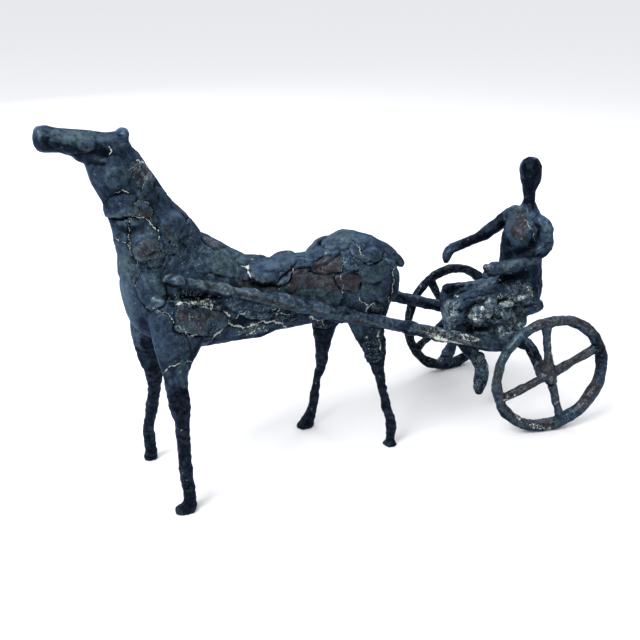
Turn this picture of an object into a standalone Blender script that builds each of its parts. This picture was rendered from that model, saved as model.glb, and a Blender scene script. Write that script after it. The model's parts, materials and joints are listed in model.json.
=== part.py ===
"""A cast bronze trotter harnessed to a two-wheeled sulky, with its driver.

The figures keep the look of pressed wax: each one is built from tapered tubes and
lumps, melted into one skin and then thinned to facets. The horse looks towards -X,
the axle lies along Y and everything stands on z = 0.
"""
import math

import bmesh
import bpy
from mathutils import Matrix, Vector
from mathutils.bvhtree import BVHTree

# Driving dimensions, in metres
HORSE_HEIGHT = 0.265
SITTING_HEIGHT = 0.125
WHEEL_RADIUS = 0.050
TRACK_WIDTH = 0.134
TAIL_TO_AXLE = 0.1145
RIM_THICKNESS = 0.0092
SPOKE_THICKNESS = 0.0072
RIM_SWELL = 0.13
HUB_BOSS_RADIUS = 0.0085
HUB_BOSS_LENGTH = 0.011
HUB_KNOB_RADIUS = 0.0036
SHAFT_THICKNESS = 0.0096
SHAFT_SPREAD = 0.061
SHAFT_TIP_SPREAD = 0.049
SHAFT_RISE = 0.0124
RIGHT_SHAFT_RISE = 0.0095
SHAFT_STOP = 0.0165
AXLE_THICKNESS = 0.0100
AXLE_ARCH = 0.0130
AXLE_BOW = 0.0095
SEAT_RISE = 0.0310
SEAT_LENGTH = 0.060
SEAT_THICKNESS = 0.017
KNEE_CLEARANCE = 0.0012

# Casting details, in metres
JOINT_GAP = 0.0003
TREAD_FLAT = 0.0004
WAX_GRAIN = 0.0012
LUMP_SIZE = 0.011
LUMP_HEIGHT = 0.0016
PAT_THICKNESS = 0.0021

# Facets kept on each piece
HORSE_FACETS = 4500
SULKY_FACETS = 1250
DRIVER_FACETS = 1450
WHEEL_FACETS = 920

# Angles in degrees: how far each wheel is skewed on its axle end
LEFT_WHEEL_TURN, LEFT_WHEEL_LEAN = -13.0, -0.5
RIGHT_WHEEL_TURN, RIGHT_WHEEL_LEAN = 0.0, -5.0
# Directions from straight up towards the back: the four spokes, and the rim's thick side
LEFT_SPOKES = (-10, 65, 162, 247)
RIGHT_SPOKES = (-30, 58, 150, 238)
RIM_THICK_SIDE = 120

LEFT, RIGHT = -1, 1
RING_SIDES = 20
BALL_SIDES, BALL_RINGS = 20, 12
SPLINE_STEPS = 4
RIM_STATIONS = 18
# How far below the ground a hoof is drawn before it is cut flat, in shares of the height
HOOF_OVERRUN = 0.02

# How thick each rod is along its length, as a multiple of its named thickness
SPOKE_SWELL = (1.25, 0.95, 1.2)
BOSS_SWELL = (0.9, 1.0)
SHAFT_SWELL = (0.85, 0.9, 0.95, 1.0, 1.05, 1.05)
AXLE_SWELL = (1.1, 1.1, 0.95, 1.0)
# Shares of the way along a shaft from its tip, and how much of the full pinch each has
SHAFT_STATIONS = ((0.0, 1.0), (0.1, 0.5), (0.25, 0.15), (0.5, 0.0), (0.75, 0.0), (1.0, 0.0))
# Where the shafts meet the horse's shoulders, in shares of its height: forward, up
SHAFT_TIP = (0.684, 0.632)
# The lumps of the seat. In shares of its length, back from the axle and half length; in
# shares of the shafts' spread, half width; in shares of its thickness, down and half depth.
SEAT_LUMPS = [
    (-0.06, 0.46, 0.42, 0.50, 0.50),
    (0.44, 0.30, 0.26, 0.05, 0.42),
    (-0.22, 0.46, 0.56, 1.00, 0.75),
    (-0.30, 0.38, 0.46, -0.25, 0.78),
]
# How far the backs of the knees are in front of the hips, in shares of the sitting height
KNEES_FORWARD = 0.516

# The horse, in shares of its height. Forward is measured from the tail root, side is
# positive to the horse's right. Each station: forward, side, up, half width, half depth.
TORSO = [
    (-0.024, 0.0, 0.485, 0.020, 0.030),
    (-0.012, 0.0, 0.488, 0.050, 0.070),
    (0.026, 0.0, 0.502, 0.080, 0.104),
    (0.110, 0.0, 0.510, 0.094, 0.134),
    (0.162, 0.0, 0.508, 0.092, 0.126),
    (0.198, 0.0, 0.503, 0.089, 0.106),
    (0.240, 0.0, 0.498, 0.086, 0.099),
    (0.300, 0.0, 0.498, 0.082, 0.100),
    (0.380, 0.0, 0.500, 0.084, 0.103),
    (0.460, 0.0, 0.518, 0.090, 0.122),
    (0.550, 0.0, 0.548, 0.098, 0.154),
    (0.640, 0.0, 0.552, 0.098, 0.142),
    (0.700, 0.0, 0.566, 0.088, 0.124),
    (0.742, 0.0, 0.582, 0.062, 0.098),
    (0.757, 0.0, 0.590, 0.028, 0.050),
]
NECK = [
    (0.605, 0.0, 0.560, 0.085, 0.118),
    (0.648, 0.0, 0.640, 0.082, 0.118),
    (0.667, 0.0, 0.700, 0.072, 0.103),
    (0.689, 0.0, 0.745, 0.062, 0.088),
    (0.708, 0.0, 0.790, 0.056, 0.074),
    (0.727, 0.0, 0.838, 0.052, 0.069),
    (0.754, 0.0, 0.890, 0.050, 0.066),
    (0.774, 0.0, 0.925, 0.042, 0.054),
]
HEAD = [
    (0.712, 0.0, 0.940, 0.022, 0.018),
    (0.735, 0.0, 0.935, 0.040, 0.032),
    (0.790, 0.0, 0.940, 0.042, 0.035),
    (0.840, 0.0, 0.953, 0.035, 0.031),
    (0.880, 0.0, 0.963, 0.031, 0.029),
    (0.905, 0.0, 0.968, 0.033, 0.031),
    (0.922, 0.0, 0.968, 0.030, 0.027),
]
TAIL = [
    (0.050, 0.0, 0.590, 0.030, 0.026),
    (0.002, 0.0, 0.567, 0.032, 0.022),
    (-0.034, 0.0, 0.538, 0.028, 0.017),
    (-0.058, 0.0, 0.514, 0.016, 0.009),
]
LEFT_FORELEG = [
    (0.640, -0.062, 0.560, 0.060, 0.085),
    (0.650, -0.084, 0.490, 0.046, 0.072),
    (0.664, -0.098, 0.440, 0.036, 0.056),
    (0.673, -0.106, 0.390, 0.029, 0.035),
    (0.673, -0.111, 0.345, 0.026, 0.029),
    (0.669, -0.117, 0.285, 0.025, 0.027),
    (0.669, -0.122, 0.240, 0.018, 0.019),
    (0.671, -0.130, 0.170, 0.017, 0.018),
    (0.671, -0.138, 0.090, 0.018, 0.018),
    (0.668, -0.145, 0.036, 0.016, 0.017),
    (0.672, -0.147, 0.016, 0.018, 0.020),
    (0.684, -0.149, 0.000, 0.022, 0.026),
]
RIGHT_FORELEG = [
    (0.640, 0.062, 0.560, 0.060, 0.085),
    (0.664, 0.080, 0.470, 0.046, 0.064),
    (0.676, 0.090, 0.390, 0.031, 0.043),
    (0.668, 0.098, 0.310, 0.026, 0.030),
    (0.666, 0.108, 0.250, 0.018, 0.019),
    (0.671, 0.116, 0.200, 0.018, 0.018),
    (0.679, 0.125, 0.148, 0.017, 0.017),
    (0.685, 0.134, 0.097, 0.016, 0.016),
    (0.682, 0.140, 0.057, 0.017, 0.017),
    (0.680, 0.146, 0.018, 0.016, 0.017),
    (0.682, 0.148, 0.000, 0.021, 0.021),
]
LEFT_HINDLEG = [
    (0.075, -0.040, 0.500, 0.050, 0.080),
    (0.090, -0.056, 0.430, 0.046, 0.068),
    (0.090, -0.068, 0.375, 0.035, 0.047),
    (0.077, -0.075, 0.325, 0.030, 0.036),
    (0.070, -0.079, 0.286, 0.026, 0.030),
    (0.064, -0.083, 0.244, 0.017, 0.019),
    (0.052, -0.088, 0.195, 0.014, 0.014),
    (0.044, -0.094, 0.140, 0.016, 0.015),
    (0.029, -0.099, 0.086, 0.015, 0.015),
    (0.024, -0.103, 0.052, 0.015, 0.015),
    (0.029, -0.106, 0.020, 0.015, 0.014),
    (0.031, -0.108, 0.000, 0.022, 0.021),
]
RIGHT_HINDLEG = [
    (0.085, 0.040, 0.500, 0.050, 0.080),
    (0.130, 0.056, 0.420, 0.046, 0.064),
    (0.155, 0.067, 0.350, 0.033, 0.041),
    (0.158, 0.073, 0.293, 0.024, 0.027),
    (0.159, 0.077, 0.255, 0.020, 0.021),
    (0.160, 0.083, 0.210, 0.016, 0.016),
    (0.170, 0.088, 0.165, 0.013, 0.013),
    (0.177, 0.094, 0.113, 0.014, 0.014),
    (0.180, 0.099, 0.070, 0.015, 0.015),
    (0.189, 0.102, 0.038, 0.017, 0.017),
    (0.203, 0.107, 0.000, 0.024, 0.028),
]
# Round lumps: forward, side, up, then the three half sizes
HORSE_LUMPS = [
    (0.724, 0.000, 0.962, 0.014, 0.030, 0.016),
    (0.702, -0.152, 0.012, 0.012, 0.013, 0.012),
    (0.910, 0.000, 0.967, 0.020, 0.032, 0.030),
    (0.812, 0.000, 0.921, 0.032, 0.030, 0.016),
]
# Large pressed pats on both flanks: forward, up, half length, half height, turn in degrees
FLANK_PATS = [
    (0.450, 0.430, 0.085, 0.026, 4), (0.400, 0.590, 0.060, 0.036, -8),
    (0.300, 0.575, 0.045, 0.034, 6), (0.570, 0.480, 0.046, 0.040, 0),
    (0.520, 0.565, 0.048, 0.040, -25), (0.620, 0.620, 0.045, 0.042, 15),
    (0.665, 0.540, 0.034, 0.050, 10), (0.650, 0.440, 0.030, 0.045, 0),
    (0.170, 0.590, 0.055, 0.040, 12), (0.090, 0.560, 0.050, 0.046, -20),
    (0.030, 0.510, 0.036, 0.060, -8), (0.130, 0.470, 0.050, 0.048, 0),
    (0.230, 0.500, 0.045, 0.040, 20), (0.340, 0.480, 0.046, 0.036, -6),
    (0.700, 0.700, 0.040, 0.040, 20), (0.640, 0.740, 0.034, 0.034, -20),
    (0.740, 0.770, 0.034, 0.028, 0), (0.690, 0.830, 0.030, 0.036, 25),
    (0.760, 0.870, 0.030, 0.034, 0), (0.080, 0.390, 0.030, 0.036, 0),
]

# The driver, in shares of the sitting height. Forward is measured from the hips and
# up from the seat. Each station: forward, side, up, half width, half depth.
TRUNK = [
    (-0.027, 0.000, 0.030, 0.120, 0.074),
    (-0.027, 0.000, 0.120, 0.130, 0.105),
    (0.024, 0.000, 0.240, 0.122, 0.150),
    (0.040, 0.000, 0.360, 0.122, 0.148),
    (0.030, 0.000, 0.490, 0.135, 0.130),
    (0.012, 0.000, 0.590, 0.150, 0.092),
    (0.006, 0.000, 0.655, 0.105, 0.062),
    (0.006, 0.000, 0.700, 0.050, 0.044),
    (0.009, 0.000, 0.740, 0.037, 0.037),
    (0.012, 0.000, 0.800, 0.042, 0.042),
]
SKULL = [
    (0.010, 0.000, 0.770, 0.036, 0.036),
    (0.011, 0.000, 0.825, 0.050, 0.054),
    (0.014, 0.000, 0.890, 0.066, 0.073),
    (0.018, 0.000, 0.945, 0.065, 0.072),
    (0.020, 0.000, 0.985, 0.050, 0.056),
    (0.021, 0.000, 1.006, 0.026, 0.030),
    (0.021, 0.000, 1.011, 0.008, 0.009),
]
LEFT_ARM = [
    (0.020, -0.110, 0.630, 0.040, 0.044),
    (0.006, -0.175, 0.600, 0.042, 0.044),
    (0.016, -0.206, 0.540, 0.042, 0.044),
    (0.018, -0.212, 0.484, 0.044, 0.044),
    (0.064, -0.208, 0.446, 0.042, 0.044),
    (0.130, -0.196, 0.420, 0.042, 0.044),
    (0.230, -0.178, 0.384, 0.038, 0.040),
    (0.330, -0.160, 0.370, 0.036, 0.042),
    (0.390, -0.155, 0.362, 0.042, 0.050),
    (0.440, -0.152, 0.350, 0.026, 0.030),
]
RIGHT_ARM = [
    (0.015, 0.110, 0.620, 0.046, 0.052),
    (0.010, 0.165, 0.590, 0.048, 0.052),
    (0.060, 0.200, 0.536, 0.046, 0.050),
    (0.139, 0.240, 0.464, 0.043, 0.046),
    (0.210, 0.240, 0.440, 0.036, 0.036),
    (0.290, 0.240, 0.420, 0.033, 0.035),
    (0.380, 0.240, 0.400, 0.033, 0.035),
    (0.440, 0.240, 0.380, 0.036, 0.038),
    (0.460, 0.240, 0.336, 0.034, 0.034),
    (0.464, 0.240, 0.296, 0.018, 0.018),
]
LEFT_LEG = [
    (0.000, -0.070, 0.110, 0.085, 0.095),
    (0.120, -0.082, 0.142, 0.074, 0.074),
    (0.260, -0.096, 0.168, 0.058, 0.056),
    (0.392, -0.104, 0.178, 0.052, 0.050),
    (0.530, -0.108, 0.174, 0.050, 0.050),
    (0.630, -0.112, 0.130, 0.052, 0.052),
    (0.640, -0.120, 0.050, 0.052, 0.052),
    (0.605, -0.130, -0.050, 0.050, 0.050),
    (0.535, -0.138, -0.150, 0.046, 0.046),
    (0.462, -0.140, -0.235, 0.040, 0.042),
    (0.406, -0.140, -0.320, 0.046, 0.050),
    (0.406, -0.140, -0.420, 0.042, 0.048),
    (0.414, -0.140, -0.490, 0.030, 0.034),
    (0.419, -0.140, -0.520, 0.016, 0.018),
]
RIGHT_LEG = [
    (0.000, 0.070, 0.110, 0.085, 0.095),
    (0.150, 0.090, 0.125, 0.072, 0.080),
    (0.342, 0.120, 0.126, 0.052, 0.056),
    (0.450, 0.135, 0.140, 0.050, 0.052),
    (0.510, 0.140, 0.120, 0.050, 0.052),
    (0.505, 0.140, 0.040, 0.048, 0.050),
    (0.480, 0.140, -0.080, 0.046, 0.048),
    (0.455, 0.140, -0.180, 0.040, 0.042),
    (0.447, 0.140, -0.262, 0.036, 0.038),
    (0.478, 0.140, -0.325, 0.046, 0.044),
    (0.515, 0.140, -0.358, 0.036, 0.032),
    (0.540, 0.140, -0.376, 0.018, 0.018),
]


def horse_point(forward, side, up):
    """Turn shares of the horse's height into a place."""
    return Vector((-TAIL_TO_AXLE - forward * HORSE_HEIGHT, side * HORSE_HEIGHT, up * HORSE_HEIGHT))


def driver_point(forward, side, up):
    """Turn shares of the sitting height into a place on the seat, the knees just past its front."""
    seat_front = min(back - half_length for back, half_length, *_ in SEAT_LUMPS) * SEAT_LENGTH
    hips = seat_front - KNEE_CLEARANCE + KNEES_FORWARD * SITTING_HEIGHT
    return Vector((hips - forward * SITTING_HEIGHT, side * SITTING_HEIGHT,
                   WHEEL_RADIUS + SEAT_RISE + up * SITTING_HEIGHT))


def spline(stations, steps=SPLINE_STEPS):
    """Pass a smooth curve through the stations and return the values along it."""
    last = len(stations) - 1
    values = []
    for index in range(last):
        a, b, c, d = (stations[max(0, min(last, index + shift))] for shift in (-1, 0, 1, 2))
        for step in range(steps):
            t = step / steps
            values.append([
                0.5 * (2 * q + (r - p) * t + (2 * p - 5 * q + 4 * r - s) * t * t
                       + (3 * q - p - 3 * r + s) * t ** 3)
                for p, q, r, s in zip(a, b, c, d)])
    values.append(list(stations[last]))
    return values


def add_loft(wax, stations, place, scale, upright=False):
    """Add a closed tube of oval rings square to the path, or all upright across it."""
    rings = spline(stations)
    centres = [place(*ring[:3]) for ring in rings]
    loops = []
    for index, centre in enumerate(centres):
        after = centres[min(index + 1, len(centres) - 1)]
        before = centres[max(index - 1, 0)]
        along = Vector((-1, 0, 0)) if upright else (after - before).normalized()
        across = (Vector((0, 1, 0)) - along * along.y).normalized()
        depth = along.cross(across)
        half_width, half_depth = (value * scale for value in rings[index][3:5])
        turns = [2 * math.pi * k / RING_SIDES for k in range(RING_SIDES)]
        loops.append([wax.verts.new(centre + across * (math.cos(turn) * half_width)
                                    + depth * (math.sin(turn) * half_depth)) for turn in turns])
    faces = [wax.faces.new(loops[0]), wax.faces.new(loops[-1])]
    for lower, upper in zip(loops, loops[1:]):
        for k in range(RING_SIDES):
            after = (k + 1) % RING_SIDES
            faces.append(wax.faces.new((lower[k], lower[after], upper[after], upper[k])))
    bmesh.ops.recalc_face_normals(wax, faces=faces)


def add_ball(wax, centre, half_sizes, turn=None):
    """Add an ellipsoid, turned by a rotation matrix if one is given."""
    matrix = Matrix.Translation(centre)
    if turn:
        matrix = matrix @ turn
    matrix = matrix @ Matrix.Diagonal((*half_sizes, 1.0))
    bmesh.ops.create_uvsphere(wax, u_segments=BALL_SIDES, v_segments=BALL_RINGS, radius=1.0,
                              matrix=matrix)


def add_rod(wax, points, thickness, swell):
    """Add a round rod with filled ends; swell widens it at each point."""
    curve = bpy.data.curves.new("rod", "CURVE")
    curve.dimensions = "3D"
    curve.bevel_depth = thickness / 2
    curve.bevel_resolution = 3
    curve.use_fill_caps = True
    line = curve.splines.new("POLY")
    smooth = spline([(*point, size) for point, size in zip(points, swell)])
    line.points.add(len(smooth) - 1)
    for target, (x, y, z, size) in zip(line.points, smooth):
        target.co = (x, y, z, 1.0)
        target.radius = size
    rod = bpy.data.objects.new("rod", curve)
    bpy.context.scene.collection.objects.link(rod)
    graph = bpy.context.evaluated_depsgraph_get()
    mesh = bpy.data.meshes.new_from_object(rod.evaluated_get(graph))
    wax.from_mesh(mesh)
    bmesh.ops.remove_doubles(wax, verts=wax.verts, dist=0.00001)
    bpy.data.objects.remove(rod)
    bpy.data.curves.remove(curve)
    bpy.data.meshes.remove(mesh)


def add_flank_pats(wax):
    """Press flat pats of wax onto both flanks, square to the surface under each."""
    flanks = BVHTree.FromBMesh(wax)
    reach = HORSE_HEIGHT
    for forward, up, half_length, half_height, turn in FLANK_PATS:
        for side in (LEFT, RIGHT):
            start = horse_point(forward, 0, up) + Vector((0, side * reach, 0))
            place, normal, _, _ = flanks.ray_cast(start, Vector((0, -side, 0)))
            if place is None:
                continue
            across = normal.to_track_quat("Z", "Y").to_matrix().to_4x4()
            twist = Matrix.Rotation(math.radians(side * turn), 4, "Z")
            sizes = (half_length * HORSE_HEIGHT, half_height * HORSE_HEIGHT, PAT_THICKNESS)
            add_ball(wax, place, sizes, across @ twist)


def bronze(name, colour, roughness):
    """Make a patinated bronze."""
    material = bpy.data.materials.new(name)
    material.use_nodes = True
    shader = material.node_tree.nodes["Principled BSDF"]
    shader.inputs["Base Color"].default_value = (*colour, 1.0)
    shader.inputs["Roughness"].default_value = roughness
    shader.inputs["Metallic"].default_value = 0.7
    return material


def facet_count(piece):
    """Count a piece's triangles with its modifiers on."""
    graph = bpy.context.evaluated_depsgraph_get()
    evaluated = piece.evaluated_get(graph)
    mesh = evaluated.to_mesh()
    count = sum(len(face.vertices) - 2 for face in mesh.polygons)
    evaluated.to_mesh_clear()
    return count


def cut(piece, cutter, name):
    """Take the cutter's volume out of a piece."""
    boolean = piece.modifiers.new(name, "BOOLEAN")
    boolean.operation = "DIFFERENCE"
    boolean.solver = "EXACT"
    boolean.object = cutter


def cast(name, wax, material, facets, ground):
    """Melt the lumps of a piece into one skin, thin it and set it flat on the ground."""
    mesh = bpy.data.meshes.new(name)
    wax.to_mesh(mesh)
    wax.free()
    mesh.materials.append(material)
    piece = bpy.data.objects.new(name, mesh)
    sculpture.objects.link(piece)
    skin = piece.modifiers.new("one skin", "REMESH")
    skin.mode = "VOXEL"
    skin.voxel_size = WAX_GRAIN
    pressed = piece.modifiers.new("finger marks", "DISPLACE")
    pressed.texture = lumps
    pressed.strength = LUMP_HEIGHT
    pressed.mid_level = 0.5
    eased = piece.modifiers.new("eased", "SMOOTH")
    eased.factor = 0.5
    eased.iterations = 2
    ratio = min(1.0, facets / facet_count(piece))
    thinned = piece.modifiers.new("facets", "DECIMATE")
    thinned.ratio = ratio
    cut(piece, ground, "flat underneath")
    return piece


def trim(piece, neighbour):
    """Cut a piece back from its neighbour by the joint gap."""
    graph = bpy.context.evaluated_depsgraph_get()
    mesh = bpy.data.meshes.new_from_object(neighbour.evaluated_get(graph))
    cutter = bpy.data.objects.new("cutter " + neighbour.name, mesh)
    cutter.matrix_world = neighbour.matrix_world
    cutters.objects.link(cutter)
    cutter.hide_render = True
    cutter.display_type = "WIRE"
    grown = cutter.modifiers.new("joint gap", "DISPLACE")
    grown.mid_level = 0.0
    grown.strength = JOINT_GAP
    cut(piece, cutter, "clear of " + neighbour.name)


def make_ground():
    """Make the block under the ground that flattens hooves and treads."""
    size = 4 * HORSE_HEIGHT
    bpy.ops.mesh.primitive_cube_add(size=1, location=(0, 0, -size / 2))
    ground = bpy.context.object
    ground.name = "cutter ground"
    ground.scale = (2 * size, 2 * size, size)
    ground.hide_render = True
    ground.display_type = "WIRE"
    for collection in ground.users_collection:
        collection.objects.unlink(ground)
    cutters.objects.link(ground)
    bpy.context.view_layer.update()
    return ground


def make_horse(ground):
    """Model the horse: body, neck, head, docked tail, legs and pressed pats."""
    wax = bmesh.new()
    add_loft(wax, TORSO, horse_point, HORSE_HEIGHT, upright=True)
    for stations in (NECK, HEAD):
        add_loft(wax, stations, horse_point, HORSE_HEIGHT)
    add_flank_pats(wax)
    for stations in (TAIL, LEFT_FORELEG, RIGHT_FORELEG, LEFT_HINDLEG, RIGHT_HINDLEG):
        below = list(stations[-1])
        if below[2] == 0.0:
            below[2] = -HOOF_OVERRUN
            stations = stations + [tuple(below)]
        add_loft(wax, stations, horse_point, HORSE_HEIGHT)
    for forward, side, up, *half_sizes in HORSE_LUMPS:
        sizes = [half * HORSE_HEIGHT for half in half_sizes]
        add_ball(wax, horse_point(forward, side, up), sizes)
    dark = bronze("Horse bronze", (0.045, 0.060, 0.075), 0.48)
    return cast("horse", wax, dark, HORSE_FACETS, ground)


def wheel_hub(side, lean):
    """Find the middle of a hub, low enough to press a small flat on the tread."""
    height = WHEEL_RADIUS * math.cos(math.radians(lean)) - TREAD_FLAT
    return Vector((0.0, side * TRACK_WIDTH / 2, height))


def make_wheel(name, side, turn, lean, spokes, ground):
    """Model a wheel of wax rod: rim, four spokes, inner boss and end knob."""
    wax = bmesh.new()
    ring_radius = WHEEL_RADIUS - RIM_THICKNESS / 2
    turns = [2 * math.pi * k / RIM_STATIONS for k in range(RIM_STATIONS + 1)]
    rim = [Vector((math.sin(angle), 0, math.cos(angle))) * ring_radius for angle in turns]
    add_rod(wax, rim, RIM_THICKNESS,
            [1 + RIM_SWELL * math.cos(angle - math.radians(RIM_THICK_SIDE)) for angle in turns])
    for direction in spokes:
        angle = math.radians(direction)
        end = Vector((math.sin(angle), 0, math.cos(angle))) * ring_radius
        add_rod(wax, [Vector((0, 0, 0)), end / 2, end], SPOKE_THICKNESS, SPOKE_SWELL)
    inner = Vector((0, -side * HUB_BOSS_LENGTH, 0))
    add_rod(wax, [Vector((0, 0, 0)), inner], 2 * HUB_BOSS_RADIUS, BOSS_SWELL)
    knob = Vector((0, side * (SPOKE_THICKNESS + HUB_KNOB_RADIUS) / 2, -HUB_KNOB_RADIUS))
    add_ball(wax, knob, [HUB_KNOB_RADIUS] * 3)
    matrix = (Matrix.Rotation(math.radians(turn), 4, "Z")
              @ Matrix.Rotation(math.radians(lean), 4, "X"))
    bmesh.ops.transform(wax, matrix=Matrix.Translation(wheel_hub(side, lean)) @ matrix, verts=wax.verts)
    dark = bronze(name.replace("_", " ") + " bronze", (0.050, 0.055, 0.060), 0.5)
    return cast(name, wax, dark, WHEEL_FACETS, ground)


def make_sulky(ground):
    """Model the sulky: two shafts, the axle and the lumpy seat block between them."""
    wax = bmesh.new()
    seat_top = WHEEL_RADIUS + SEAT_RISE
    arch_top = Vector((0, 0, WHEEL_RADIUS + AXLE_ARCH))
    tip_forward, tip_up = SHAFT_TIP
    for side in (LEFT, RIGHT):
        half_spread = side * SHAFT_SPREAD / 2
        full_pinch = side * (SHAFT_SPREAD - SHAFT_TIP_SPREAD) / 2
        rise = RIGHT_SHAFT_RISE if side == RIGHT else 0.0
        tip = horse_point(tip_forward, 0, tip_up) + Vector((0, half_spread, rise))
        back = Vector((-SHAFT_STOP, half_spread, WHEEL_RADIUS + SHAFT_RISE + rise))
        points = [tip.lerp(back, share) - Vector((0, pinch * full_pinch, 0))
                  for share, pinch in SHAFT_STATIONS]
        add_rod(wax, points, SHAFT_THICKNESS, SHAFT_SWELL)
        hub = wheel_hub(side, 0.0)
        stub = Vector((0, side * (abs(hub.y) - HUB_BOSS_LENGTH - JOINT_GAP), hub.z))
        bow = arch_top.lerp(stub, 0.75) + Vector((0, 0, AXLE_BOW))
        axle = [arch_top, arch_top + Vector((0, half_spread, 0)), bow, stub]
        add_rod(wax, axle, AXLE_THICKNESS, AXLE_SWELL)
    for back, half_length, half_width, down, half_depth in SEAT_LUMPS:
        add_ball(wax, Vector((back * SEAT_LENGTH, 0, seat_top - down * SEAT_THICKNESS)),
                 (half_length * SEAT_LENGTH, half_width * SHAFT_SPREAD, half_depth * SEAT_THICKNESS))
    brown = bronze("Sulky bronze", (0.075, 0.065, 0.055), 0.5)
    return cast("sulky", wax, brown, SULKY_FACETS, ground)


def make_driver(ground):
    """Model the driver with both arms reaching forward and the legs hanging."""
    wax = bmesh.new()
    for stations in (TRUNK, SKULL, LEFT_ARM, RIGHT_ARM, LEFT_LEG, RIGHT_LEG):
        add_loft(wax, stations, driver_point, SITTING_HEIGHT)
    dark = bronze("Driver bronze", (0.045, 0.058, 0.070), 0.5)
    return cast("driver", wax, dark, DRIVER_FACETS, ground)


def centre_on_ground(pieces):
    """Move everything so that the middle of its box stands over the origin."""
    graph = bpy.context.evaluated_depsgraph_get()
    corners = []
    for piece in pieces:
        mesh = piece.evaluated_get(graph).to_mesh()
        corners.extend(piece.matrix_world @ vertex.co for vertex in mesh.vertices)
    middle = [(min(corner[axis] for corner in corners) + max(corner[axis] for corner in corners)) / 2
              for axis in (0, 1)]
    root = bpy.data.objects.new("horse_and_sulky", None)
    sculpture.objects.link(root)
    for piece in pieces + list(cutters.objects):
        piece.parent = root
    root.location = (-middle[0], -middle[1], 0)


for leftover in list(bpy.data.objects):
    bpy.data.objects.remove(leftover, do_unlink=True)
sculpture = bpy.data.collections.new("horse and sulky")
cutters = bpy.data.collections.new("cutters")
for collection in (sculpture, cutters):
    bpy.context.scene.collection.children.link(collection)
lumps = bpy.data.textures.new("pressed wax", "CLOUDS")
lumps.noise_scale = LUMP_SIZE

ground_block = make_ground()
horse = make_horse(ground_block)
left_wheel = make_wheel("left_wheel", LEFT, LEFT_WHEEL_TURN, LEFT_WHEEL_LEAN, LEFT_SPOKES, ground_block)
right_wheel = make_wheel("right_wheel", RIGHT, RIGHT_WHEEL_TURN, RIGHT_WHEEL_LEAN,
                         RIGHT_SPOKES, ground_block)
sulky = make_sulky(ground_block)
for fixed in (horse, left_wheel, right_wheel):
    trim(sulky, fixed)
driver = make_driver(ground_block)
trim(driver, sulky)
centre_on_ground([horse, sulky, driver, left_wheel, right_wheel])
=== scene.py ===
"""Looks of a cast bronze horse harnessed to a sulky: pressed wax relief, patina, residue and light.

Each casting is taken from its solid, melted to a fine skin, pressed with pats of wax, pitted and
then patinated. Places that were read off the photograph are in its frame of 640 by 640 pixels.
"""
from __future__ import annotations

import json
import logging
import math
import random
from dataclasses import dataclass, field
from enum import Enum

import bmesh
import bpy
import numpy as np
from mathutils import Euler, Matrix, Vector
from mathutils.bvhtree import BVHTree

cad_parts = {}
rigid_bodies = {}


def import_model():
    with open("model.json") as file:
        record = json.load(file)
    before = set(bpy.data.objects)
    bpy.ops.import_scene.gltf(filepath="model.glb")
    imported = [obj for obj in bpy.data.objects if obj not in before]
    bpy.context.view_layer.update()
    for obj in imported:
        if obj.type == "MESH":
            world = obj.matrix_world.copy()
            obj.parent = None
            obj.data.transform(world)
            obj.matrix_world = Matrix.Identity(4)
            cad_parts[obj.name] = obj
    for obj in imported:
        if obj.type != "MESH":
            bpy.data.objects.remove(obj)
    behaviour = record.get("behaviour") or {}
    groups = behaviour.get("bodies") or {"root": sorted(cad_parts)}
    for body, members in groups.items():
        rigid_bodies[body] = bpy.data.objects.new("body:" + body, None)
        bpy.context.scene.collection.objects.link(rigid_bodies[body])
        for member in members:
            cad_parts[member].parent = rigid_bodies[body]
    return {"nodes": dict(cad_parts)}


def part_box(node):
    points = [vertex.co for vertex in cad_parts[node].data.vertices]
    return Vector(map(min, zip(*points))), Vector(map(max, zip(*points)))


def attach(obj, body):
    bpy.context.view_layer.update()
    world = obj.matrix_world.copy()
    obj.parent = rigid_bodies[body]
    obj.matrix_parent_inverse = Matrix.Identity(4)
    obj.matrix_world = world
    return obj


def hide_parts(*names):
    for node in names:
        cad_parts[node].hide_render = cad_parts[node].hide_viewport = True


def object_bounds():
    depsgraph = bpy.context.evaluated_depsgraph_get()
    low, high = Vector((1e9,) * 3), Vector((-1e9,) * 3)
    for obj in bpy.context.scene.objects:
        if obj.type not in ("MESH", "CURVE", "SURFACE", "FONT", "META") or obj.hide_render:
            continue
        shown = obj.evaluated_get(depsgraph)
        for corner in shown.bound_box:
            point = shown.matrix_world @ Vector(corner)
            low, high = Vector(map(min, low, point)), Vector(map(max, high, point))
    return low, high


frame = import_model()
CAD_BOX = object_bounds()

LOG = logging.getLogger("horse_and_sulky")
BODY = "root"
MM = 0.001


class Tone(Enum):
    """Patina colours, as places along the patina's colour ramp."""

    DARK = 0.0
    BLUE = 0.3
    TEAL = 0.55
    BROWN = 0.85


class Mark(Enum):
    """Names of the values that a casting carries from its mesh to its material."""

    TONE = "tone"
    SEAM = "seam"
    RESIDUE = "residue"
    TRACE = "trace"
    DRAWN = "drawn"
    GRIT = "grit"
    CREVICE = "crevice"
    RIDGE = "ridge"
    # Where painted highlights are laid, from the highlight patches.
    RUBBED = "rubbed"


@dataclass(frozen=True)
class Pat:
    """A pat of wax pressed on by hand: its place in pixels and its thickness in millimetres."""

    x: float
    y: float
    half_length: float
    half_height: float
    turn: float = 0.0
    thickness: float = 1.1
    tone: Tone = Tone.BLUE
    lip: float = 90.0
    grit: float = 0.0


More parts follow.
